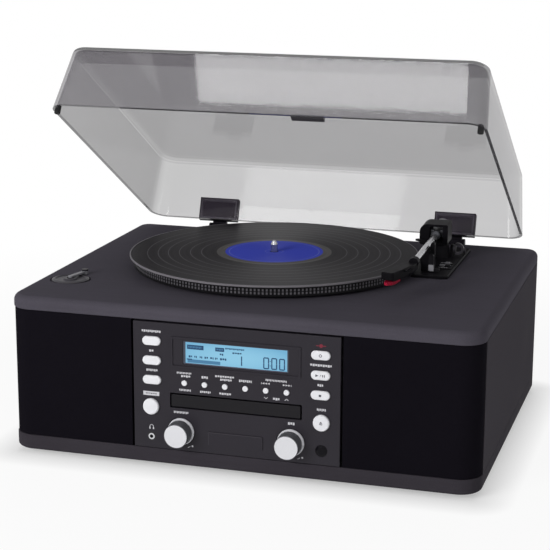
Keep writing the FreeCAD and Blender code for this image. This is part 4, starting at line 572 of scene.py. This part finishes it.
socket_finish().on("rear_sockets")

white_print = moulded("white_print", tone(206, 205, 210), 0.5, 0.4, 0.004)
grey_print = moulded("grey_print", tone(96, 95, 102), 0.5, 0.4, 0.004)
painted_edge_light = moulded("painted_edge_light", tone(60, 57, 63), 0.5, 0.4, 0.004)
black_print = moulded("black_print", tone(14, 13, 16), 0.5, 0.4, 0.004)
dark_print = moulded("dark_print", tone(62, 62, 70), 0.5, 0.4, 0.004)
red_print = moulded("red_print", tone(118, 22, 44), 0.5, 0.4, 0.004)
screw_metal = brushed("screw_zinc", tone(176, 176, 178), 0.3)


def segment_finish(name, colour):
    finish = Finish(name, Specular_IOR_Level=0.3, Emission_Strength=0.7)
    fine = finish.noise(0.6)
    finish.feed(Base_Color=finish.mix(fine, tone(10, 20, 34), tone(16, 28, 46)),
                Emission_Color=finish.mix(fine, colour, tuple(0.86 * c for c in colour[:3]) + (1.0,)),
                Roughness=0.3 + fine * 0.1)
    return finish


segment_dark = segment_finish("segment_dark", tone(28, 76, 118))
segment_middle = segment_finish("segment_middle", tone(84, 146, 188))


# Flat printed and cut shapes, drawn in millimetres
def bar(u, v, width, height):
    return [(u + a * width / 2, v + b * height / 2) for a, b in square]


def disc(u, v, radius, count=24):
    return [(u + radius * math.cos(2 * math.pi * step / count),
             v + radius * math.sin(2 * math.pi * step / count)) for step in range(count)]


def arc(u, v, inner, outer, start, end, count=14):
    angles = [math.radians(start + (end - start) * step / count) for step in range(count + 1)]
    out = [(u + outer * math.cos(a), v + outer * math.sin(a)) for a in angles]
    back = [(u + inner * math.cos(a), v + inner * math.sin(a)) for a in reversed(angles)]
    return out + back


def ring_halves(u, v, inner, outer):
    return [arc(u, v, inner, outer, 0, 180), arc(u, v, inner, outer, 180, 360)]


def stroke(points, width):
    """A bent line of this width, as one outline."""
    left, right = [], []
    for index, (u, v) in enumerate(points):
        before = Vector(points[max(index - 1, 0)])
        after = Vector(points[min(index + 1, len(points) - 1)])
        along = (after - before).normalized()
        side = Vector((-along.y, along.x)) * width / 2
        left.append((u + side.x, v + side.y))
        right.append((u - side.x, v - side.y))
    return left + right[::-1]


def ticks(u, v, width, height, seed):
    """A row of small blocks that stands where a label is printed; it spells nothing."""
    shapes = []
    place = u - width / 2
    step = 0
    while place < u + width / 2 - 0.6:
        block = 1.0 + 0.45 * ((seed + 3 * step) % 3)
        block = min(block, u + width / 2 - place)
        low = 0.18 * height * ((seed + step) % 2)
        shapes.append(bar(place + block / 2, v + low / 2, block, height - low))
        place += block + 0.5
        step += 1
    return shapes


def build(name, mesh, body, finish, smooth=False):
    made = bpy.data.objects.new(name, mesh)
    bpy.context.scene.collection.objects.link(made)
    mesh.materials.append(finish.material)
    for polygon in mesh.polygons:
        polygon.use_smooth = smooth
    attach(made, body)
    return made


def plates(name, loops, place, body, finish, thickness=ink_depth):
    """Thin plates with these outlines; place(u, v, height) puts a point on its surface."""
    mesh = bpy.data.meshes.new(name)
    shape = bmesh.new()
    for loop in loops:
        low = [shape.verts.new(place(u, v, 0.0) / 1000) for u, v in loop]
        high = [shape.verts.new(place(u, v, thickness) / 1000) for u, v in loop]
        shape.faces.new(high)
        shape.faces.new(low[::-1])
        for index in range(len(loop)):
            after = (index + 1) % len(loop)
            shape.faces.new((low[index], low[after], high[after], high[index]))
    bmesh.ops.recalc_face_normals(shape, faces=shape.faces)
    shape.to_mesh(mesh)
    shape.free()
    return build(name, mesh, body, finish)


def front_at(y):
    return lambda u, v, height: Vector((u, y - height, v))


def top_at(z):
    return lambda u, v, height: Vector((u, v, z + height))


on_panel = front_at(panel_y)

# Marks printed on the panel, and a painted highlight along the plaque's top and left edges
# Each row has its place across and up, its width and height, and the pattern of its blocks
label_rows = (
    (-oblong_x, 136.6, 20.0, 2.3, 1), (-oblong_x, 117.4, 5.4, 2.2, 2), (-oblong_x, 98.2, 11.6, 2.3, 4),
    (oblong_x, 117.5, 20.5, 2.3, 5), (oblong_x, 98.3, 6.0, 2.3, 7), (round_x, 74.6, 9.2, 2.5, 3),
    (-knob_x + 0.5, 58.6, 15.0, 2.3, 6), (knob_x + 0.5, 58.4, 6.4, 2.6, 8))
labels = [block for row in label_rows for block in ticks(*row)]
labels.append(bar(-round_x, 74.9, 16.2, 4.0))
for index, (rows, width, below) in enumerate((
        (2, 15.5, 12.0), (1, 6.2, 10.6), (2, 19.5, 12.4), (1, 12.4, 0.0), (0, 0.0, 0.0), (0, 0.0, 0.0))):
    x = small_x[index]
    if rows == 2:
        labels += ticks(x, 98.0, width, 1.9, index)
        labels += ticks(x + 1.2, 95.0, width * 0.6, 2.0, index + 2)
    if rows == 1:
        labels += ticks(x, 95.6, width, 2.4, index + 1)
    if below:
        labels += ticks(x + 0.6, 81.2, below, 2.1, index + 3)
middle = (small_x[4] + small_x[5]) / 2
labels += ticks(middle, 98.8, 21.0, 2.0, 3)
labels += ticks(middle, 81.0, 6.2, 2.4, 5)
for x, way in ((small_x[4], -1), (small_x[5], 1)):
    for step in (-2.6, 0.0, 2.6):
        labels.append([(x + step - way * 1.1, 96.3), (x + step + way * 1.1, 95.3),
                       (x + step - way * 1.1, 94.3)])
    labels.append(bar(x + way * 4.4, 95.3, 0.5, 2.0))
    low, high = 81.2 - way * 0.8, 81.2 + way * 0.8
    labels.append(stroke([(x - 1.7, low), (x, high), (x + 1.7, low)], 0.6))
labels.append(stroke([(jack[0] - 1.9 * math.cos(a), 41.4 + 2.1 * math.sin(a)) for a in
                      [math.radians(d) for d in range(-10, 191, 20)]], 0.5))
for side in (-1, 1):
    labels.append(bar(jack[0] + side * 1.8, 40.2, 1.1, 2.2))
    labels.append(disc(side * knob_x + 17.9 * math.cos(math.radians(-50)),
                       knob_z + 17.9 * math.sin(math.radians(-50)), 0.95))
    labels.append(arc(side * knob_x, knob_z, 16.6, 17.1, -66, -56))
plates("panel_marks", labels, on_panel, "cabinet", white_print)
red_marks = [disc(oblong_x, 136.3, 1.8)]
red_marks += [bar(oblong_x + side * 3.4, 136.3, 2.6, 0.9) for side in (-1, 1)]
plates("record_mark", red_marks, on_panel, "cabinet", red_print)
plates("strip_marks", ticks(-round_x, 74.9, 11.0, 1.0, 2), front_at(panel_y - ink_depth), "cabinet",
       grey_print, symbol_depth)
plates("jack_surround", ring_halves(*jack, 3.35, 4.5), on_panel, "cabinet",
       black_print, symbol_depth)
# Light lines along the plaque's top and left edges: a painted highlight.
plates("plaque_painted_highlight", [bar(0, 41.6, 53.6, 0.3), bar(-26.7, 35.4, 0.3, 12.6)],
       front_at(panel_y - 0.8), "cabinet", painted_edge_light, symbol_depth)

# Symbols on the buttons at the right
face = front_at(oblong_face_y)
plates("record_symbol", ring_halves(oblong_x, oblong_z[0], 0.85, 1.5),
       face, "record_button", grey_print, symbol_depth)
play = oblong_z[1]
plates("play_symbol", [
    [(oblong_x - 4.6, play - 1.2), (oblong_x - 1.6, play), (oblong_x - 4.6, play + 1.2)],
    stroke([(oblong_x - 0.4, play - 1.2), (oblong_x + 0.6, play + 1.2)], 0.35),
    bar(oblong_x + 2.3, play, 0.8, 2.2), bar(oblong_x + 4.0, play, 0.8, 2.2)],
       face, "play_button", dark_print, symbol_depth)
plates("stop_symbol", [bar(oblong_x, oblong_z[2], 2.2, 2.2)],
       face, "stop_button", dark_print, symbol_depth)
wedge = [(round_x - 1.6, round_z + 0.1), (round_x + 1.6, round_z + 0.1), (round_x, round_z + 2.0)]
plates("eject_symbol", [wedge, bar(round_x, round_z - 0.9, 3.2, 0.7)],
       front_at(round_face_y), "eject_button", dark_print, symbol_depth)


# Figures and bars of the display
def seven(u, v, width, height, thickness, lit):
    """A figure of seven bars; lit names them a to g."""
    half = height / 2
    a, b = width / 2 - thickness / 2, half - thickness / 2
    gap = 0.18
    level = width - thickness - gap
    shapes = {
        "a": bar(u, v + b, level, thickness), "d": bar(u, v - b, level, thickness),
        "g": bar(u, v, level, thickness),
        "b": bar(u + a, v + b / 2, thickness, b - gap), "c": bar(u + a, v - b / 2, thickness, b - gap),
        "f": bar(u - a, v + b / 2, thickness, b - gap), "e": bar(u - a, v - b / 2, thickness, b - gap)}
    return [shapes[letter] for letter in lit]


on_glass = front_at(display_y)
dark = [bar(-39.6, 124.2, 16.4, 4.3), bar(-15.4, 124.0, 8.8, 3.8)]
dark += ticks(-13.6, 119.4, 3.4, 1.9, 1) + ticks(-0.6, 125.6, 18.6, 1.6, 4) + ticks(1.6, 121.8, 8.8, 1.5, 2)
for x in (-44.6, -39.0, -33.6, -28.8, -23.2, -18.4):
    dark += ticks(x, 114.9, 3.4, 2.0, int(abs(x)))
dark += ticks(-12.0, 114.8, 6.2, 2.1, 2)
dark.append(bar(-45.6, 112.2, 5.2, 1.0))
dark += seven(4.0, 114.7, 5.4, 10.4, 1.1, "bc")
for x in (30.2, 38.0, 45.6):
    dark += seven(x, 114.8, 5.8, 11.4, 1.15, "abcdef")
dark += [bar(34.1, 117.0, 0.8, 0.8), bar(34.1, 112.6, 0.8, 0.8)]
plates("display_figures", dark, on_glass, "cabinet", segment_dark, symbol_depth)
plates("display_level", [bar(-31.2, 110.6, 32.6, 3.2)], on_glass, "cabinet", segment_middle, 0.02)
plates("display_box_marks", ticks(-39.6, 124.2, 14.0, 1.9, 3) + ticks(-15.4, 124.0, 6.4, 1.7, 5),
       front_at(display_y - symbol_depth), "cabinet", segment_middle, 0.02)

# Marks beside the switches on the arm's base
plates("switch_marks", ticks(152.0, 66.6, 12.0, 1.4, 2) + ticks(152.0, 44.4, 9.0, 1.4, 5)
       + [disc(146.6, 57.4, 0.6), disc(152.0, 57.4, 0.6), disc(157.4, 57.4, 0.6)],
       top_at(switch_plate_z), "cabinet", white_print, 0.04)


# Screws
def screw(shape, centre, outward, across, radius, height):
    """A round-headed cross screw, added to a mesh being made."""
    up = outward.normalized()
    first = across.normalized()
    second = up.cross(first)
    rings = []
    around = [2 * math.pi * step / screw_steps for step in range(screw_steps)]
    for share, rise in ((1.0, 0.0), (1.0, 0.45), (0.82, 0.82), (0.5, 1.0)):
        rings.append([shape.verts.new((centre + (first * math.cos(a) + second * math.sin(a)) * radius * share
                                       + up * height * rise) / 1000) for a in around])
    for low, high in zip(rings, rings[1:]):
        for step in range(screw_steps):
            after = (step + 1) % screw_steps
            shape.faces.new((low[step], low[after], high[after], high[step]))
    arm, half = radius * 0.42, radius * 0.1
    outline = [(arm, -half), (arm, half), (half, half), (half, arm), (-half, arm), (-half, half),
               (-arm, half), (-arm, -half), (-half, -half), (-half, -arm), (half, -arm), (half, -half)]
    mouth = [shape.verts.new((centre + first * u + second * v + up * height) / 1000) for u, v in outline]
    floor = [shape.verts.new((centre + first * u * 0.8 + second * v * 0.8 + up * height * 0.35) / 1000)
             for u, v in outline]
    shape.faces.new(floor)
    for here in range(len(outline)):
        after = (here + 1) % len(outline)
        shape.faces.new((mouth[here], mouth[after], floor[after], floor[here]))
    edges = [shape.edges.get((loop[index], loop[index - 1])) for loop in (rings[-1], mouth)
             for index in range(len(loop))]
    bmesh.ops.triangle_fill(shape, use_beauty=True, edges=edges)


def screws(name, places, outward, across, radius, height, body, finish):
    mesh = bpy.data.meshes.new(name)
    shape = bmesh.new()
    for place in places:
        screw(shape, Vector(place), outward, across, radius, height)
    bmesh.ops.recalc_face_normals(shape, faces=shape.faces)
    shape.to_mesh(mesh)
    shape.free()
    return build(name, mesh, body, finish, True)


back_way = Vector((0, 1, 0))
screws("rear_screws", [(x, rear_y, z) for x in rear_screw_x for z in rear_screw_z], back_way,
       Vector((1, 0, 0)), 3.2, 1.6, "cabinet", screw_metal)
screws("socket_screws", [(sockets_at[0], rear_y, sockets_at[1])]
       + [(inlet_at[0] + side * 21.0, rear_y, inlet_at[1]) for side in (-1, 1)], back_way,
       Vector((1, 0, 1)), 2.4, 1.3, "cabinet", screw_metal)


# Stage, light and camera; the floor's first two sizes are in metres, the others in millimetres
ray_kinds = ("Is Camera Ray", "Is Glossy Ray", "Is Transmission Ray")
floor_half = 8.0
floor_drop = 0.0002
shadow_half = (226.0, 176.0)
shadow_fade = 40.0
white_from = 420.0
white_over = 500.0


def stage_finish():
    """Pale floor that keeps the shadow near the object and is plain white further off."""
    finish = Finish("floor_white", Roughness=0.9, Specular_IOR_Level=0.1)
    x, y, z = finish.axes()
    beside = ((abs(x) - shadow_half[0]) / shadow_fade).capped()
    before = ((abs(y) - shadow_half[1]) / shadow_fade).capped()
    near = ((beside * beside + before * before) ** 0.5).capped()
    away = (((x * x + y * y) ** 0.5 - white_from) / white_over).capped()
    seen, mirrored, through = (finish.node("LightPath", output=kind) for kind in ray_kinds)
    share = ((away * 0.09 + near * 0.51 + 0.4) * seen + mirrored + through * 0.8).capped()
    finish.feed(Base_Color=finish.mix(finish.noise(200.0) * 0.3, tone(250, 250, 250), tone(242, 242, 243)))
    return finish.blend_shaders(share, finish.node("Emission", None, {"Color": white, "Strength": 1.0}))


floor_mesh = bpy.data.meshes.new("floor")
floor_mesh.from_pydata([(u * floor_half, v * floor_half, -floor_drop) for u, v in square], [], [(0, 1, 2, 3)])
floor = bpy.data.objects.new("floor", floor_mesh)
bpy.context.scene.collection.objects.link(floor)
floor_mesh.materials.append(stage_finish().material)

world = bpy.data.worlds.new("studio")
bpy.context.scene.world = world
world.use_nodes = True
studio = NodeTree(world.node_tree)
seen, mirrored, through = (studio.node("LightPath", output=kind) for kind in ray_kinds)
soft_light = studio.node("Background", None, {"Color": white, "Strength": 0.26})
plain_white = studio.node("Background", None, {"Color": white, "Strength": 1.0})
studio.show(studio.node("MixShader", None, {
    0: (seen + mirrored + through).capped(), 1: soft_light, 2: plain_white}))


def lamp(name, place, target, width, height, power):
    """A soft box that faces its target."""
    data = bpy.data.lights.new(name, "AREA")
    data.shape = "RECTANGLE"
    data.size = width
    data.size_y = height
    data.energy = power
    made = bpy.data.objects.new(name, data)
    bpy.context.scene.collection.objects.link(made)
    made.location = place
    made.rotation_euler = (Vector(target) - Vector(place)).to_track_quat("-Z", "Y").to_euler()
    return made


lamp("key", (-1.15, -2.1, 1.0), (0, 0, 0.1), 1.3, 0.9, 39.0).visible_glossy = False
lamp("fill", (2.2, -0.7, 0.8), (0, 0, 0.1), 1.0, 1.0, 7.0)
lamp("back", (-0.4, 1.6, 1.9), (0, 0, 0.15), 1.6, 1.2, 8.0).visible_glossy = False


def card(name, middle, across, along, strength):
    """A bright rectangle of these half sizes that shows only as a reflection in the gloss."""
    middle, across, along = Vector(middle), Vector(across), Vector(along)
    corners = [middle + across * u + along * v for u, v in square]
    mesh = bpy.data.meshes.new(name)
    mesh.from_pydata(corners, [], [(0, 1, 2, 3)])
    finish = Finish(name + "_light")
    finish.show(finish.node("Emission", None, {"Color": white, "Strength": strength}))
    mesh.materials.append(finish.material)
    made = bpy.data.objects.new(name, mesh)
    bpy.context.scene.collection.objects.link(made)
    made.visible_camera = False
    made.visible_diffuse = False
    made.visible_transmission = False
    made.visible_shadow = False


# The two cards stand where the lid's front and back mirror them toward the camera
card("front_card", (-0.25, -0.48, 1.5), (0.24, 0, 0), (0, 0.08, 0), 16.0)
card("wall_card", (-0.66, -2.0, 1.34), (0.22, 0, 0), (0, 0, 0.22), 9.0)

# Place, heading, roll and lens come from fitting the model's edges to the photo's
camera_place = Vector((0.45415, -1.58123, 0.55235))
camera_way = Vector((-0.27684, 0.93184, -0.23460)).normalized()
camera_roll = math.radians(-0.24)
right = camera_way.cross(Vector((0, 0, 1))).normalized()
above = right.cross(camera_way)
turned = Matrix.Rotation(camera_roll, 3, camera_way)
right, above = turned @ right, turned @ above
camera_data = bpy.data.cameras.new("camera")
camera_data.sensor_width = 36.0
camera_data.lens = 107.1
camera = bpy.data.objects.new("camera", camera_data)
bpy.context.scene.collection.objects.link(camera)
camera.matrix_world = Matrix((
    (right.x, above.x, -camera_way.x, camera_place.x),
    (right.y, above.y, -camera_way.y, camera_place.y),
    (right.z, above.z, -camera_way.z, camera_place.z),
    (0, 0, 0, 1)))
bpy.context.scene.camera = camera
bpy.context.scene.view_settings.view_transform = "Standard"
